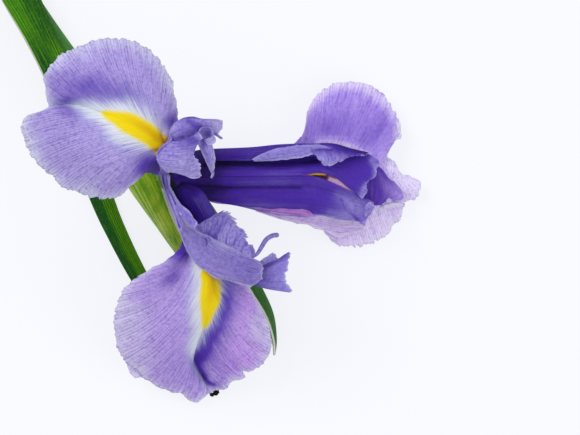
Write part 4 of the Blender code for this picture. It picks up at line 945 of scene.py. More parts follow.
def standard_front():
    piece = Piece("standard_front_strap")
    start = seat("right", STANDARD_SEAT - 1.2, -1)
    wing = [
        [start + (-0.4, 0.9, 0.3), (-1.2, -0.5, 18.5), (-0.9, 0.7, 26), (-0.6, -1.6, 30), (0.5, -4.5, 35),
         (1.4, -6.9, 39), (2.4, -9.1, 42), (3.2, -11, 44.5), (3.8, -12.4, 45)],
        [start + (-0.2, 0.4, 0.1), (-0.9, -0.9, 18.5), (-0.6, 0.7, 26.4), (-0.2, -1.7, 30.4),
         (1, -4.5, 35.4), (2.1, -6.8, 39.4), (3, -8.9, 42.4), (3.7, -10.7, 44.8), (4.2, -12.3, 45.2)],
        [start, (-0.4, -1.6, 18.6), (-0.3, 0.7, 26.6), (0.2, -1.9, 30.6), (1.4, -4.4, 35),
         (2.4, -6.2, 38.6), (2.9, -7.3, 41), (3.2, -7.9, 42.4), (3.3, -8.3, 43)],
        [start + (0.2, -0.4, -0.1), (0, -2.2, 18.5), (0.1, 0.7, 26.4), (0.5, -2.1, 30.6), (1.8, -4.3, 35),
         (2.8, -6.2, 38.8), (3.6, -7.7, 41.6), (4.5, -9.2, 43.8), (5.8, -11.1, 45.4)],
        [start + (0.3, -0.7, -0.2), (0.3, -2.8, 18.3), (0.4, 0.7, 26.2), (0.8, -2.3, 30.4),
         (2.1, -4.3, 34.6), (3.1, -6.1, 38.2), (4.2, -7.6, 41.4), (5.7, -9.2, 44.4), (7.2, -12.1, 46.4)],
        [start + (0.4, -0.9, -0.3), (0.6, -3.2, 18), (0.8, 0.5, 26), (0.9, -2.5, 30.2), (2.4, -4.5, 33.6),
         (3.4, -6.1, 37), (4.6, -7.5, 40), (6.2, -8.5, 43), (7, -9.8, 45), (8, -11, 46.2),
         (7.6, -12, 46.6)],
    ]
    # Its narrow dark lines are painted shade along its folds.
    strip(piece, wing, rows=120, columns=64, veins=12, seed=35, side_teeth=0.2, deep=-0.05, end_teeth=0.15,
          waves=0.1, crisp=1.6,
          bands=[([(-1.3, 0.2), (-0.7, -2.3), (0.1, -4.7), (1, -7.4), (2, -9.8), (2.8, -12)], 0.32, 0.9),
                 ([(-0.8, 0.5), (-0.5, -2), (0.6, -4.7), (1.5, -6.9), (2.2, -9.1)], 0.25, -0.7),
                 ([(-0.4, -0.5), (0, -2.7), (1.1, -4.9), (1.9, -6.6)], 0.2, 0.8),
                 ([(0.1, 0), (0.3, -2.5), (1.7, -4.8), (2.9, -6.6), (4.2, -7.8)], 0.3, -0.7),
                 ([(2.9, -7.8), (4.2, -9.8), (5.4, -11.5)], 0.5, 0.25),
                 ([(4.9, -8.8), (5.9, -10.5), (6.5, -11.8)], 0.8, 0.35)])
    return piece.make()


# ---------------------------------------------------------------- green parts


def stem():
    guide = [(-69, 96.5, 3), (-56, 76, 3.2), (-44, 57.5, 3.4), (-31, 38, 3.7), (-22, 25.5, 3.9),
             (-13.5, 14, 4)]
    line = smooth_line(guide, 20)
    place = np.linspace(0, 1, len(line))
    swelling = 0.25 * np.exp(-((place - 0.2) / 0.03) ** 2)
    radii = 3.0 - 0.3 * place + swelling
    piece = Piece("stem_stalk")
    tube(piece, line, radii, sides=48, round_ends=False, pith=2)
    return piece.make(thickness=0)


def bent_blade(piece, stations):
    """The leaf: a keeled blade across its keel line, bent through an angle at each station."""
    keel = smooth_line([station[0] for station in stations], 12)
    form = smooth_line([(width, angle, 0) for _, width, angle in stations], 12)
    tangent = unit(np.gradient(keel, axis=0))
    sideways = unit(np.cross(tangent, (0.0, 0.0, 1.0)))
    upward = np.cross(sideways, tangent)
    v = np.linspace(-1, 1, LEAF_COLUMNS + 1)
    bend = np.radians(form[:, 1])
    radius = form[:, 0] / bend
    angle = bend[:, None] * v[None]
    # A soft ridge along the keel.
    ridge = 0.25 * np.exp(-((v * form[:, :1]) / 0.8) ** 2) * fade(2.0, 3.0, form[:, :1])
    grid = (keel[:, None] + sideways[:, None] * (radius[:, None] * np.sin(angle))[..., None]
            - upward[:, None] * (radius[:, None] * (1 - np.cos(angle)) - ridge)[..., None])
    length = lengths(keel)[:, None] + 0 * v[None]
    aside = v[None] * form[:, :1]
    # Its margin is papery only on one side, where it sheaths the stalk.
    edge = (1 - np.abs(v))[None] * form[:, :1] + FAR_IN * fade(57.0, 64.0, length) + FAR_IN * (v < 0)[None]
    withered = fade(length.max() - 4.5, length.max() - 2.5, length)
    fields = {"vein": v[None] * 11.0 + 0 * length, "run": length, "aside": aside}
    piece.add_grid(grid, edge=edge, along=length, deep=withered, **fields)
    # Ribs thin out to the tip, and fade at both margins.
    girth = (np.minimum(1.0, form[:, :1] / 3.2) * fade(0.0, 4.0, length[-1, 0] - 6.0 - length)
             * fade(1.0, 0.86, np.abs(v))[None])
    return grid, fields, girth


def leaf():
    stations = [((-56, 76, 7.15), 7.6, 112), ((-50, 66.7, 7.25), 7.6, 112), ((-43.5, 56.7, 7.5), 7.2, 104),
                ((-37.5, 46.3, 8.2), 5.8, 76), ((-32.2, 36.2, 8.9), 4.3, 52), ((-26.6, 24.2, 8.6), 3.9, 50),
                ((-22.2, 10.5, 5.4), 3.6, 50), ((-16.7, -4.8, 2.9), 3.1, 50),
                ((-13.2, -13.1, 2.1), 2.7, 50), ((-7.6, -24.1, 1.9), 2.3, 48), ((-2.3, -32, 1.7), 2, 46),
                ((4.3, -41.5, 1.4), 1.7, 40), ((9.3, -49.2, 1), 1, 30), ((11.5, -52.8, 0.7), 0.5, 20)]
    piece = Piece("leaf_blade")
    grid, fields, girth = bent_blade(piece, stations)
    withered_tip = [
        [(10, -53.1, 1.3), (10.6, -53.3, 1.2), (11.1, -52.9, 1.2), (11.7, -52.6, 1.1), (12.2, -52.6, 1)],
        [(10.1, -53.7, 0.8), (10.7, -53.8, 0.8), (11.2, -53.4, 0.9), (11.6, -53.5, 0.8),
         (12.3, -52.9, 0.8)],
    ]
    strip(piece, withered_tip, rows=40, columns=10, veins=3, seed=55, side_teeth=0.2, deep=1, waves=0.3,
          wave_scale=1.6)
    # The ribs end where they get too thin to see.
    whole = np.flatnonzero(girth[:, LEAF_COLUMNS // 2] > 0.05)[-1]
    fields = {field: np.broadcast_to(value, grid.shape[:2])[:whole] for field, value in fields.items()}
    ribs = rib_lines("leaf_ribs", grid[:whole], fields, np.arange(3, LEAF_COLUMNS - 1, 3), girth[:whole],
                     BLADE_TISSUE * 0.5)
    return piece.make(BLADE_TISSUE), ribs


def valve(name, stations, seed, pale_at, rib_columns=(), pale_until=200.0):
    """A spathe valve: part of an oval shell, between its two margins, narrowing to its tip."""
    axis = smooth_line([station[0] for station in stations], 12)
    form = smooth_line([(wide, high, 0) for _, wide, high, _, _ in stations], 12)
    margins = smooth_line([(first, last, 0) for *_, first, last in stations], 12)
    tangent = unit(np.gradient(axis, axis=0))
    sideways = unit(np.stack([-tangent[:, 1], tangent[:, 0], 0 * tangent[:, 0]], axis=1))
    v = np.linspace(0, 1, VALVE_COLUMNS)
    angle = np.radians(margins[:, :1] + (margins[:, 1:2] - margins[:, :1]) * v[None])
    ribs = 1 + 0.006 * np.sin(2 * math.pi * 9 * v)[None]
    grid = (axis[:, None] + sideways[:, None] * (form[:, :1] * np.cos(angle) * ribs)[..., None]
            + np.array((0, 0, 1.0)) * (form[:, 1:2] * np.sin(angle) * ribs)[..., None])
    length = lengths(axis)[:, None] + 0 * v[None]
    around = np.linalg.norm(np.diff(grid, axis=1), axis=2)
    around = np.concatenate([np.zeros((len(grid), 1)), np.cumsum(around, axis=1)], axis=1)
    # Its outline seen from above is pale and ribbed.
    outline = (np.exp(-((np.degrees(angle) - pale_at) / 26) ** 2)
               * (1 - fade(pale_until, pale_until + 8, length)))
    piece = Piece(name)
    fields = {"vein": v[None] * 13.0 + seed + 0 * length, "run": length, "aside": around}
    piece.add_grid(grid, edge=around, along=length, deep=-outline, **fields)
    if not len(rib_columns):
        return piece.make(BLADE_TISSUE)
    girth = (np.minimum(1.0, form[:, :1] / 5.0) * fade(0.0, 6.0, length)
             * fade(0.0, 6.0, length[-1, 0] - length) + 0 * v[None])
    inner = slice(2, -2)
    ribs = rib_lines(name + "_ribs", grid[inner], {field: value[inner] for field, value in fields.items()},
                     rib_columns, girth[inner], -BLADE_TISSUE * 0.5)
    return piece.make(BLADE_TISSUE), ribs


def spathe_left():
    stations = [((-19.4, 22.6, 3.95), 2.95, 2.95, 92, 262), ((-16.5, 18.5, 4), 3.7, 3.6, 92, 262),
                ((-11, 10.8, 4), 5.2, 3.6, 84, 262), ((-4.1, 1.4, 4.1), 6.8, 3.7, 80, 262),
                ((2.7, -7.7, 4.1), 7, 3.7, 106, 262), ((7.2, -14.4, 4.1), 6.8, 3.6, 116, 260),
                ((10.8, -21, 3.6), 5.4, 3, 122, 258), ((13, -27.5, 2.9), 3.4, 2.2, 128, 255),
                ((14.5, -33.5, 2.2), 1.2, 0.8, 140, 240)]
    return valve("spathe_left_valve", stations, 0.0, 172, np.array((3, 9, 13, 15, 17, 18, 19, 20, 21, 22)))


def spathe_right():
    stations = [((-19.4, 22.6, 3.95), 2.95, 2.95, 88, -86), ((-16.5, 18.5, 4), 3.7, 3.6, 80, -82),
                ((-11, 10.8, 4), 5.2, 3.6, 66, -82), ((-4.1, 1.4, 4.1), 6.6, 3.6, 30, -82),
                ((2.7, -7.7, 4.1), 6.9, 3.6, 34, -82), ((7.8, -15, 4.1), 6.8, 3.6, 44, -80),
                ((13.6, -22.8, 3.9), 6.3, 3.3, 60, -78), ((18.3, -29, 3.5), 5, 2.9, 66, -76),
                ((22.4, -34.6, 2.8), 3.5, 2.2, 66, -74), ((24.8, -40, 1.9), 1.7, 1.3, 62, -70),
                ((25.7, -43.8, 1.2), 0.35, 0.4, 60, -60)]
    return valve("spathe_right_valve", stations, 40.0, 0, pale_until=42.0)


def ovary_tube():
    base = np.array((0.0, 0.0, RIM_HEIGHT))
    guide = [(-13.25, 13.65, 4), (-9, 8, 4.1), (-5.2, 3.7, 4.7), (-2.7, 1.5, 6.8), base - AXIS * 2.6,
             base - AXIS * 1.2, base]
    line = smooth_line(guide, 12)
    profile = smooth_line([(r, 0, 0) for r in (2.3, 2.5, 2.0, 1.3, 1.4, 2.1, 2.9)], 12)[:, 0]
    piece = Piece("ovary_and_tube")
    tube(piece, line, profile, sides=36, round_ends=False)
    return piece.make(thickness=0)


def stamen(side, guide):
    line = smooth_line([seat(side, STAMEN_SEAT), *guide], 16)
    place = np.linspace(0, 1, len(line))
    swell = np.sin(np.clip((place - ANTHER_FROM) / (1 - ANTHER_FROM), 0, 1) * math.pi) ** 0.4
    radii = np.where(place > ANTHER_FROM, 0.38 + 0.3 * swell, 0.36)
    piece = Piece(f"stamen_{side}_stalk")
    tube(piece, line, radii, sides=16)
    return piece.make(thickness=0)


# ---------------------------------------------------------------- materials


def tint(red, green, blue):
    """A colour from its 0-255 display values, as linear light."""
    return tuple((c / 255 / 12.92 if c <= 10.31 else ((c / 255 + 0.055) / 1.055) ** 2.4)
                 for c in (red, green, blue)) + (1.0,)


def add_node(tree, kind, settings, inputs):
    """The outputs of a new node, once its settings are made and its inputs are set or linked."""
    made = tree.nodes.new(kind)
    for key, value in (settings or {}).items():
        setattr(made, key, value)
    for key, value in (inputs or {}).items():
        if isinstance(value, bpy.types.NodeSocket):
            tree.links.new(value, made.inputs[key])
        else:
            made.inputs[key].default_value = value
    return made.outputs


class Value:
    """A socket in a material, so that shader maths reads as Python."""

    def __init__(self, board, socket):
        self.board = board
        self.socket = socket

    def _math(self, operation, *values, clamp=False):
        settings = {"operation": operation, "use_clamp": clamp}
        return self.board.node("Math", settings, dict(enumerate(values)))

    def __add__(self, other):
        return self._math("ADD", self, other)

    def __radd__(self, other):
        return self._math("ADD", other, self)

    def __sub__(self, other):
        return self._math("SUBTRACT", self, other)

    def __rsub__(self, other):
        return self._math("SUBTRACT", other, self)

    def __mul__(self, other):
        return self._math("MULTIPLY", self, other)

    def __rmul__(self, other):
        return self._math("MULTIPLY", other, self)

    def __abs__(self):
        return self._math("ABSOLUTE", self)

    def part(self):
        """What is left after the decimal point."""
        return self._math("FRACT", self)

    def at_least(self, other):
        return self._math("MAXIMUM", self, other)

    def held(self):
        """Kept between 0 and 1."""
        return self._math("ADD", self, 0.0, clamp=True)

    def rise(self, low, high):
        """A smooth step from 0 at low to 1 at high."""
        return self.board.node(
            "MapRange", {"interpolation_type": "SMOOTHSTEP"},
            {"Value": self, "From Min": low, "From Max": high},
        )


class Board:
    """A material's nodes."""

    def __init__(self, name):
        self.material = bpy.data.materials.new(name)
        self.material.use_nodes = True
        self.tree = self.material.node_tree
        self.tree.nodes.clear()

    def node(self, kind, settings=None, inputs=None, output=0):
        """A new shader node's output. An input of three numbers is a colour in display values."""
        given = {}
        for key, value in (inputs or {}).items():
            is_colour = isinstance(value, tuple) and len(value) == 3
            given[key] = tint(*value) if is_colour else getattr(value, "socket", value)
        return Value(self, add_node(self.tree, "ShaderNode" + kind, settings, given)[output])

    def mix(self, share, first, second):
        """A colour between two, by share."""
        return self.node("Mix", {"data_type": "RGBA"}, {0: share, 6: first, 7: second}, output=2)

    def fields(self, *names):
        return [self.node("Attribute", {"attribute_name": name}, output=2) for name in names]

    def show(self, shader):
        """Ends the material with its shader."""
        add_node(self.tree, "ShaderNodeOutputMaterial", None, {0: shader.socket})
        return self.material

    def vector(self, x=0.0, y=0.0, z=0.0):
        return self.node("CombineXYZ", None, {0: x, 1: y, 2: z})

    def place(self):
        return self.node("TexCoord", output=3)

    def speckle(self, vector, scale, detail=2.0, roughness=0.5):
        return self.node("TexNoise", None, {"Vector": vector, "Scale": scale, "Detail": detail,
                                            "Roughness": roughness})

    def finish(self, colour, roughness, height, depth, strength, specular, through=None, share=0.0,
               sheen=0.0):
        """The surface: a principled shader, with some light let through where through is a colour."""
        bump = self.node("Bump", None, {"Height": height, "Distance": depth * MM, "Strength": strength})
        shader = self.node("BsdfPrincipled", None, {
            "Base Color": colour, "Roughness": roughness, "Normal": bump,
            "Sheen Weight": sheen, "Sheen Roughness": 0.4, "Specular IOR Level": specular,
        })
        if through is not None:
            glow = self.node("BsdfTranslucent", None, {"Color": through, "Normal": bump})
            shader = self.node("MixShader", None, {0: share, 1: shader, 2: glow})
        return self.show(shader)


def vein_lines(vein, run, wobble, width=0.15):
    """Fine veins that fork twice on their way to the margin, 1 on a vein and 0 between."""
    steady = vein + wobble
    first = 1 - abs(steady.part() - 0.5).rise(0.0, width)
    second = (1 - abs((steady * 2 + 0.5).part() - 0.5).rise(0.0, width * 1.5)) * run.rise(0.12, 0.4)
    third = (1 - abs((steady * 4 + 0.25).part() - 0.5).rise(0.0, width * 2.2)) * run.rise(0.45, 0.8)
    return (first * 0.9).at_least(second * 0.7).at_least(third * 0.5)


def summed(value, rises):
    """The sum of smooth rises of a value: (start, stop, amount) each."""
    total = 0.0
    for start, stop, amount in rises:
        total = total + value.rise(start, stop) * amount
    return total


def petal_material(name, mid, pale, deep, vein_colour, margin=4.5, vein_strength=0.75,
                   shadow=(24, 6, 60), signal=None, glow=0.35, contrast=1.0, warm=None,
                   edge_highlight_colour=(222, 220, 250)):
    """Petal tissue: a mid tone that pales to its margin, with fine veins. Its deep field darkens it to the
    deep colour and past that to the shadow colour: partly its own darker tone, partly painted shade in its
    folds and where parts meet and overlap. Below zero it pales: partly its own paler tone, partly painted
    highlight.

    signal holds where the yellow and the pale halo lie along the midline, in millimetres.
    """
    board = Board(name)
    vein, run, edge, deep_field, along, aside = board.fields("vein", "run", "edge", "deep", "along", "aside")
    place = board.place()
    broad = board.speckle(place, 130.0, 3.0)
    fine = board.speckle(place, 1300.0, 3.0, 0.6)
    streak = board.speckle(board.vector(vein * 1.1, run * 2.2, aside * 0.06), 1.0, 4.0, 0.6)
    hair = board.speckle(board.vector(vein * 6.0, run * 5.0, aside * 0.15), 1.0, 3.0, 0.65)
    wobble = (streak - 0.5) * 1.1
    patchy = board.speckle(board.vector(vein * 0.9, run * 3.5, aside * 0.1 + 5.0), 1.0, 3.0, 0.6)
    veins = vein_lines(vein, run, wobble) * (patchy * 2.4 - 0.45).held()
    rim = 1 - (edge + (hair - 0.5) * 4.0 + (broad - 0.5) * 4.0).rise(-1.0, margin)
    # A thin pale line right at the margin: a painted highlight along the thin edge.
    edge_highlight = 1 - edge.rise(0.08, 0.36)
    if warm:
        side, warm_colour = warm
        mid = board.mix((aside * side).rise(3.0, 11.0), mid, warm_colour)
    # Tone holds the petal's own tone together with painted shade; past 1 it takes the shadow colour, a
    # painted shadow.
    tone = deep_field + (broad - 0.5) * 0.5 * contrast + (streak - 0.5) * 0.6 * contrast
    colour = board.mix((rim * 0.95 + (0 - tone).rise(0.0, 1.0)).held(), mid, pale)
    colour = board.mix(tone.rise(0.02, 1.0) * (1 - rim * 0.8), colour, deep)
    colour = board.mix(tone.rise(1.0, 2.0), colour, shadow)
    grain = (hair - 0.5) * 1.5 + (fine - 0.5) * 1.9
    colour = board.mix((grain * contrast).held(), colour, vein_colour)
    flecks = (grain * -0.6 * contrast).held() * (1 - deep_field.rise(0.0, 0.6) * 0.85)
    colour = board.mix(flecks, colour, pale)
    colour = board.mix(edge_highlight * 0.42, colour, edge_highlight_colour)
    vein_share = veins * vein_strength * (1 - rim * 0.4)
    if signal:
        off = abs(aside)
        halo_off = abs(aside + signal["halo_shift"])
        feather = (hair - 0.5) * 3.0 + (streak - 0.5) * 2.4
        halo_width = summed(along, signal["halo"])
        halo = (halo_width - halo_off + feather * (halo_width * 0.65).at_least(0.0)).rise(-1.6, 1.8)
        haze = (halo_width * 1.5 - halo_off + feather * (halo_width * 0.75).at_least(0.0)).rise(-2.2, 2.2)
        colour = board.mix(haze * 0.4, colour, (196, 206, 240))
        colour = board.mix(halo * 0.95, colour, (236, 242, 244))
        vein_share = vein_share * (1 - halo * 0.8)
    colour = board.mix(vein_share, colour, vein_colour)
    if signal:
        yellow_width = summed(along, signal["yellow"])
        yellow = (yellow_width - off + feather * 0.34).rise(-0.5, 0.8)
        gold = board.mix(along.rise(*signal["orange"]), (246, 172, 0), (252, 230, 0))
        centre = 1 - abs(aside + signal["seam"]).rise(0.2, 1.5)
        core = centre * 0.6 * (1 - along.rise(*signal["orange_fade"])) + (hair - 0.5) * 0.5
        gold = board.mix(core.held(), gold, (232, 176, 0))
        colour = board.mix(yellow, colour, gold)
    rough = 0.6 + (fine - 0.5) * 0.2
    height = (0 - veins) * 0.5 + (hair - 0.5) * 0.8 + (fine - 0.5) * 0.5
    through = board.mix(0.25, colour, pale)
    return board.finish(colour, rough, height, depth=0.2, strength=0.6, through=through, share=glow,
                        sheen=0.03, specular=0.12)


def blade_material(name, dark, mid, light, ribs, margin_colour, margin=0.8, painted_lit_half=0.0,
                   along_shift=None, shift_from=None, rib_depth=0.45, mottle=0.0, gloss=0.2):
    """A green blade with parallel ribs, mottles and a papery margin.

    The lit-half amount paints one half lighter, as the lit side, and the other darker, as the shaded
    side; by the leaf's upper end the other half is painted lit. along_shift holds a span of its length
    over which it takes on another colour, to the right of shift_from.
    """
    board = Board(name)
    vein, run, edge, aside, faded = board.fields("vein", "run", "edge", "aside", "deep")
    place = board.place()
    broad = board.speckle(place, 90.0, 3.0)
    fine = board.speckle(place, 1700.0, 3.0, 0.6)
    streak = board.speckle(board.vector(vein * 1.6, run * 0.045, 0.0), 1.0, 4.0, 0.6)
    blotch = board.speckle(board.vector(vein * 0.7, run * 0.2, 7.0), 1.0, 4.0, 0.6)
    dash = board.speckle(board.vector(vein * 4.0, run * 0.35, 3.0), 1.0, 3.0, 0.6)
    line = 1 - abs((vein * ribs + (streak - 0.5) * 0.5).part() - 0.5).rise(0.0, 0.36)
    tone = (streak - 0.5) * 2.0 + (broad - 0.5) * 1.0 + 0.5
    # Painted light and shade: one half painted lit, the other shaded.
    if painted_lit_half:
        tone = tone + (aside.rise(-0.5, 0.7) - 0.5) * painted_lit_half * (run.rise(42.0, 60.0) * 1.6 - 0.6)
    colour = board.mix(tone.held(), dark, mid)
    colour = board.mix(((dash - 0.55) * 3.0 * tone).held(), colour, light)
    if mottle:
        colour = board.mix(((blotch - 0.48) * 5.0).held() * mottle, colour, dark)
        colour = board.mix(((0.42 - blotch) * 6.0).held() * mottle * 0.6, colour, light)
    colour = board.mix(line * rib_depth, colour, dark)
    colour = board.mix(((fine - 0.5) * 0.9).held(), colour, light)
    pale_ribs = 1 - abs((vein * ribs * 1.3 + (streak - 0.5) * 0.8).part() - 0.5).rise(0.0, 0.25)
    colour = board.mix((0 - faded).held() * pale_ribs * 0.8, colour, margin_colour)
    rim = 1 - (edge + (dash - 0.5) * 0.6).rise(margin * 0.5, margin)
    colour = board.mix(rim * 0.9, colour, margin_colour)
    if along_shift:
        start, stop, tip_colour = along_shift
        beyond = board.node("SeparateXYZ", None, {0: place}).rise(shift_from, shift_from + 1.0 * MM)
        colour = board.mix((run + (dash - 0.5) * 3.0).rise(start, stop) * beyond, colour, tip_colour)
    colour = board.mix(faded.held(), colour, (30, 26, 26))
    height = (0 - line) * 0.6 + (fine - 0.5) * 0.4 + (dash - 0.5) * 0.3
    return board.finish(colour, 0.5 + (fine - 0.5) * 0.15, height, depth=0.15, strength=0.6,
                        through=light, share=0.1, specular=gloss)


def rib_material(name, shade, bright, painted_lit_half=0.0):
    """Raised ribs: painted bright on the blade's lit half, and nearer to its own green on its shaded half."""
    board = Board(name)
    vein, run, aside = board.fields("vein", "run", "aside")
    streak = board.speckle(board.vector(vein * 3.0, run * 0.12, 2.0), 1.0, 3.0, 0.6)
    share = (streak - 0.5) * 2.4 + 0.5
    # Painted light and shade, as on the blade: one half lit, the other shaded.
    if painted_lit_half:
        share = share + (aside.rise(-0.5, 0.7) - 0.5) * painted_lit_half * (run.rise(42.0, 60.0) * 1.6 - 0.6)
    colour = board.mix(share.held(), shade, bright)
    return board.finish(colour, 0.5, streak, depth=0.05, strength=0.3, specular=0.15)


def stamen_material(name):
    board = Board(name)
    (along,) = board.fields("along")
    place = board.place()
    grain = board.speckle(place, 2600.0, 3.0, 0.7)
    broad = board.speckle(place, 300.0)
    anther = along.rise(12.6, 13.4)
    stalk = board.mix(broad, (196, 186, 214), (160, 146, 200))
    pollen = board.mix(grain, (214, 150, 20), (246, 214, 90))
    colour = board.mix(anther, stalk, pollen)
    return board.finish(colour, 0.7, grain, depth=0.12, strength=0.8, specular=0.35,
                        through=(230, 200, 120), share=0.1, sheen=0.1)


# ---------------------------------------------------------------- grown detail


class Growth:
    """A tree of geometry nodes, whose inputs are named."""

    def __init__(self, name, inputs):
        self.tree = bpy.data.node_groups.new(name, "GeometryNodeTree")
        face = self.tree.interface
        face.new_socket("Geometry", in_out="INPUT", socket_type="NodeSocketGeometry")
        self.identifiers = {}
        for label, kind in inputs:
            socket = face.new_socket(label, in_out="INPUT", socket_type="NodeSocket" + kind)
            self.identifiers[label] = socket.identifier
        face.new_socket("Geometry", in_out="OUTPUT", socket_type="NodeSocketGeometry")
        self.given = self.tree.nodes.new("NodeGroupInput").outputs

    def node(self, kind, settings=None, inputs=None, output=0):
        return add_node(self.tree, kind, settings, inputs)[output]

    def close(self, geometry):
        """Ends the tree: instances made real, smooth, in the material that is handed in."""
        real = self.node("GeometryNodeRealizeInstances", None, {"Geometry": geometry})
        smooth = self.node("GeometryNodeSetShadeSmooth", None, {"Geometry": real})
        painted = self.node("GeometryNodeSetMaterial", None,
                            {"Geometry": smooth, "Material": self.given["Material"]})
        self.tree.links.new(painted, self.tree.nodes.new("NodeGroupOutput").inputs[0])

    def grow(self, made, **values):
        """Runs the tree on an object, and keeps the result as its mesh."""
        modifier = made.modifiers.new(self.tree.name, "NODES")
        modifier.node_group = self.tree
        for label, value in values.items():
            modifier[self.identifiers[label]] = value
        settle(made)


def rib_growth():
    """Round ribs along the edges of a mesh, as thick as its girth says."""
    growth = Growth("raised_ribs", [("Thickness", "Float"), ("Sides", "Int"), ("Material", "Material")])
    lines = growth.node("GeometryNodeMeshToCurve", None, {"Mesh": growth.given["Geometry"]})
    ring = growth.node("GeometryNodeCurvePrimitiveCircle", None,
                       {"Resolution": growth.given["Sides"], "Radius": growth.given["Thickness"]})
    girth = growth.node("GeometryNodeInputNamedAttribute", {"data_type": "FLOAT"}, {"Name": "girth"})
    growth.close(growth.node("GeometryNodeCurveToMesh", None, {
        "Curve": lines, "Profile Curve": ring, "Scale": girth, "Fill Caps": True}))
    return growth


def pollen_growth():
    """Round grains scattered over the part of a stamen past its stalk."""
    growth = Growth("pollen_grains", [("Anther Start", "Float"), ("Density", "Float"), ("Seed", "Int"),
                                      ("Grain Radius", "Float"), ("Material", "Material")])
    along = growth.node("GeometryNodeInputNamedAttribute", {"data_type": "FLOAT"}, {"Name": "along"})
    anther = growth.node("FunctionNodeCompare", {"data_type": "FLOAT", "operation": "GREATER_THAN"},
                         {0: along, 1: growth.given["Anther Start"]})
    spots = growth.node("GeometryNodeDistributePointsOnFaces", None, {
        "Mesh": growth.given["Geometry"], "Selection": anther, "Density": growth.given["Density"],
        "Seed": growth.given["Seed"]})
    grain = growth.node("GeometryNodeMeshIcoSphere", None,
                        {"Radius": growth.given["Grain Radius"], "Subdivisions": 1})
    size = growth.node("FunctionNodeRandomValue", {"data_type": "FLOAT"},
                       {2: 0.6, 3: 1.3, "Seed": growth.given["Seed"]}, output=1)
    growth.close(growth.node("GeometryNodeInstanceOnPoints", None,
                             {"Points": spots, "Instance": grain, "Scale": size}))
    return growth


def rib_lines(name, grid, fields, columns, girth, lift):
    """A mesh of bare edges along some columns of a blade's grid, lifted off its face."""
    normal = unit(np.cross(np.gradient(grid, axis=1), np.gradient(grid, axis=0)), 1e-9)
    picked = (grid + normal * lift)[:, columns].transpose(1, 0, 2)
    count, length = picked.shape[:2]
    index = np.arange(count * length).reshape(count, length)
    edges = np.stack([index[:, :-1], index[:, 1:]], axis=-1).reshape(-1, 2)
    mesh = bpy.data.meshes.new(name)
    mesh.from_pydata(((picked.reshape(-1, 3) + BASE) * MM).tolist(), edges.tolist(), [])
    for field, value in {**fields, "girth": girth}.items():
        write_field(mesh, field, np.broadcast_to(value, grid.shape[:2])[:, columns].T.reshape(-1))
    return add_object(name, mesh)


# ---------------------------------------------------------------- assembly


def dress(piece, node, finish):
    piece.data.materials.clear()
    piece.data.materials.append(finish)
    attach(piece, "root")
    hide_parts(node)


LEFT_SIGNAL = {
    "halo": [(29.0, 31.0, 1.6), (30.5, 38.0, 2.4), (36.0, 42.0, 0.6), (42.5, 50.0, -2.4), (50.0, 60.0, -2.2)],
    "halo_shift": 0.2,
    "yellow": [(20.0, 22.0, 2.5), (34.0, 38.0, 0.2), (41.0, 47.0, -1.3), (46.5, 51.0, -1.9)],
    "orange": (28.0, 36.0),
    "orange_fade": (36.0, 46.0),
    "seam": -0.7,
}
LOWER_SIGNAL = {
    "halo": [(22.0, 28.0, 3.4), (33.0, 42.0, -0.7), (42.0, 48.0, -0.9), (50.0, 61.0, -1.8)],
    "halo_shift": 1.0,
    "yellow": [(26.0, 28.5, 2.8), (35.0, 43.0, -1.2), (42.0, 51.0, -2.3)],
    "orange": (20.0, 27.0),
    "orange_fade": (32.0, 40.0),
    "seam": 0.0,
}
RIGHT_SIGNAL = {
    "halo": [(10.0, 20.0, 3.0), (32.0, 42.0, -3.6)],
    "halo_shift": 0.0,
    "yellow": [(20.0, 24.0, 2.0), (30.0, 38.0, -2.5)],
    "orange": (25.0, 33.0),
    "orange_fade": (30.0, 38.0),
    "seam": 0.0,
}
violet_left = petal_material("violet_fall_left", (194, 176, 236), (230, 230, 248), (102, 72, 188),
                             (82, 50, 168), margin=6.5, vein_strength=0.66, signal=LEFT_SIGNAL)
violet_lower = petal_material("violet_fall_lower", (206, 180, 242), (232, 224, 248), (88, 46, 186),
                              (96, 56, 184), margin=5, vein_strength=0.62, signal=LOWER_SIGNAL,
                              warm=(1, (220, 180, 250)))
violet_right = petal_material("violet_fall_right", (188, 160, 240), (246, 236, 255), (92, 48, 188),
                              (112, 74, 198), margin=4, vein_strength=0.5, contrast=0.85,
                              signal=RIGHT_SIGNAL, warm=(-1, (236, 208, 255)))
style_blue = petal_material("blue_violet_style", (172, 156, 232), (208, 202, 246), (90, 50, 188),
                            (88, 62, 178), margin=1.4, vein_strength=0.55, shadow=(30, 8, 72))
style_crest = petal_material("blue_violet_crest", (170, 154, 226), (214, 206, 246), (84, 56, 176),
                             (86, 62, 172), margin=1.7, vein_strength=0.75, contrast=1.15)
strap_violet = petal_material("violet_standard", (168, 152, 232), (206, 200, 246), (76, 38, 172),
                              (84, 54, 170), margin=1.2, vein_strength=0.55, shadow=(28, 8, 68))
blush = petal_material("blush_haft", (238, 196, 228), (244, 214, 236), (120, 44, 70), (190, 130, 190),
                       margin=0.5, vein_strength=0.4, shadow=(60, 20, 30))
pink_fold = petal_material("pink_violet_fold", (234, 172, 250), (246, 214, 252), (150, 84, 206),
                           (172, 104, 214), margin=0.5, vein_strength=0.4)
signal_gold = petal_material("signal_yellow", (255, 212, 0), (255, 222, 30), (230, 150, 0), (240, 180, 0),
                             margin=0.2, vein_strength=0.3, edge_highlight_colour=(255, 220, 20))

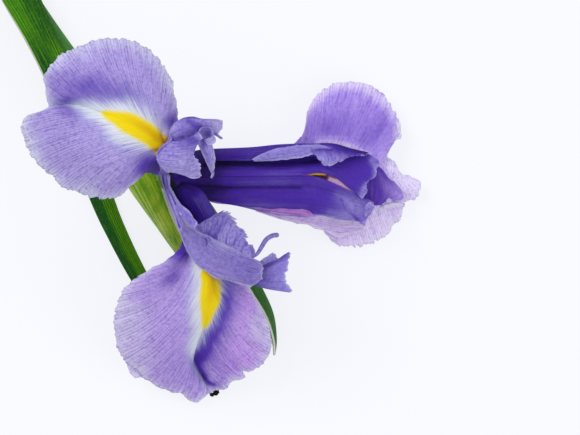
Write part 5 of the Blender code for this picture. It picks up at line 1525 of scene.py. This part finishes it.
leaf_green = blade_material("leaf_green_blade", (6, 70, 20), (62, 134, 6), (130, 184, 30), 0.72,
                            (196, 206, 180), painted_lit_half=-0.9, rib_depth=0.6, mottle=0.25, gloss=0.1)
stalk_green = blade_material("stalk_green", (40, 100, 40), (80, 140, 50), (120, 170, 80), 1,
                             (206, 220, 160), margin=0.1, mottle=0.3)
olive = blade_material("olive_valve", (72, 144, 4), (198, 222, 52), (222, 232, 116), 1.2, (226, 232, 206),
                       margin=0.9, mottle=0.95, gloss=0.1)
tip_green = blade_material("green_valve", (28, 80, 30), (66, 120, 50), (130, 164, 100), 1.2,
                           (226, 228, 206), margin=0.55, mottle=0.3, gloss=0.1)
# Near its rim the tube takes a near-black violet: the perianth tube's own purple, darkened further as painted
# shade in the throat.
tube_green = blade_material("pale_green_tissue", (120, 150, 70), (160, 184, 100), (196, 208, 150), 1,
                            (170, 190, 120), margin=0.1, along_shift=(13.5, 15.5, (36, 14, 80)),
                            shift_from=(BASE[0] - 0.4) * MM)
cream = stamen_material("cream_pollen")
leaf_rib_green = rib_material("leaf_rib_green", (8, 74, 24), (106, 162, 10), painted_lit_half=-0.9)
pale_rib = rib_material("pale_valve_rib", (150, 180, 110), (230, 236, 214))

dress(stem(), "stem", stalk_green)
leaf_blade, leaf_ribs = leaf()
dress(leaf_blade, "leaf", leaf_green)
left_valve, valve_ribs = spathe_left()
dress(left_valve, "spathe_left", olive)
ribs = rib_growth()
ribs.grow(leaf_ribs, Thickness=LEAF_RIB_RADIUS * MM, Sides=8, Material=leaf_rib_green)
dress(leaf_ribs, "leaf", leaf_rib_green)
ribs.grow(valve_ribs, Thickness=VALVE_RIB_RADIUS * MM, Sides=8, Material=pale_rib)
dress(valve_ribs, "spathe_left", pale_rib)
dress(spathe_right(), "spathe_right", tip_green)
dress(ovary_tube(), "ovary_tube", tube_green)
dress(fall_left(), "fall_left", violet_left)
dress(fall_lower(), "fall_lower", violet_lower)
dress(fall_right(), "fall_right", violet_right)
dress(signal_glimpse(), "fall_right", signal_gold)
dress(bright_fold(), "fall_right", pink_fold)
dress(style_left(), "style_left", style_crest)
dress(style_lower(), "style_lower", style_crest)
dress(style_right(), "style_right", style_blue)
dress(style_right_lining(), "style_right", blush)
dress(standard_upper(), "standard_upper", strap_violet)
dress(standard_right(), "standard_right", strap_violet)
dress(standard_front(), "standard_front", strap_violet)
pollen = pollen_growth()
STAMEN_GUIDES = {
    "left": [(-1.15, 1.9, 17.5), (-1.85, 3.35, 25.0), (-1.53, 4.53, 33.0)],
    "lower": [(1.4, -5.9, 15.0), (4.0, -10.6, 20.2), (6.6, -14.6, 25.2)],
    "right": [(6.0, 0.5, 11.3), (14.0, 0.5, 12.0), (24.0, 0.5, 11.8)],
}
for seed, (side, guide) in enumerate(STAMEN_GUIDES.items(), 3):
    stalk = stamen(side, guide)
    dress(stalk, "stamen_" + side, cream)
    grains = add_object(f"stamen_{side}_pollen", stalk.data.copy())
    pollen.grow(grains, **{"Anther Start": POLLEN_FROM, "Density": GRAINS_PER_MM2 / MM**2, "Seed": seed,
                           "Grain Radius": GRAIN_RADIUS * MM, "Material": cream})
    dress(grains, "stamen_" + side, cream)


# ---------------------------------------------------------------- stage, light and camera


def stage_floor():
    mesh = bpy.data.meshes.new("floor")
    corners = [(x * FLOOR_HALF, y * FLOOR_HALF, 0) for x, y in ((-1, -1), (1, -1), (1, 1), (-1, 1))]
    mesh.from_pydata(corners, [], [(0, 1, 2, 3)])
    floor = add_object("floor", mesh)
    board = Board("pale_floor")
    shader = board.node("BsdfPrincipled", None, {
        "Base Color": (0.14, 0.14, 0.15, 1), "Roughness": 0.9, "Specular IOR Level": 0.1,
        "Emission Color": (0.955, 0.965, 1.0, 1), "Emission Strength": 0.825,
    })
    mesh.materials.append(board.show(shader))


def soft_light(name, place, aim, size, power):
    data = bpy.data.lights.new(name, "AREA")
    data.shape = "DISK"
    data.size = size
    data.energy = power
    lamp = add_object(name, data)
    lamp.location = place
    lamp.rotation_mode = "QUATERNION"
    lamp.rotation_quaternion = (Vector(aim) - Vector(place)).to_track_quat("-Z", "Y")


stage_floor()
soft_light("key", (-0.5, 0.5, 0.7), (0, 0, 0.02), 0.5, 5.0)
soft_light("fill", (0.7, -0.3, 0.6), (0, 0, 0.02), 0.7, 2.4)

world = bpy.data.worlds.new("studio")
world.use_nodes = True
sky = world.node_tree.nodes["Background"].inputs
sky[0].default_value = (0.95, 0.97, 1.0, 1)
sky[1].default_value = 0.75
bpy.context.scene.world = world
bpy.context.scene.view_settings.view_transform = "Standard"

view = bpy.data.cameras.new("view")
view.lens = 250.0
view.sensor_width = 36.0
view.clip_start = 0.05
view.clip_end = 20.0
camera = add_object("view", view)
camera.location = Vector(BASE + (*VIEW_CENTRE, CAMERA_HEIGHT)) * MM
bpy.context.scene.camera = camera
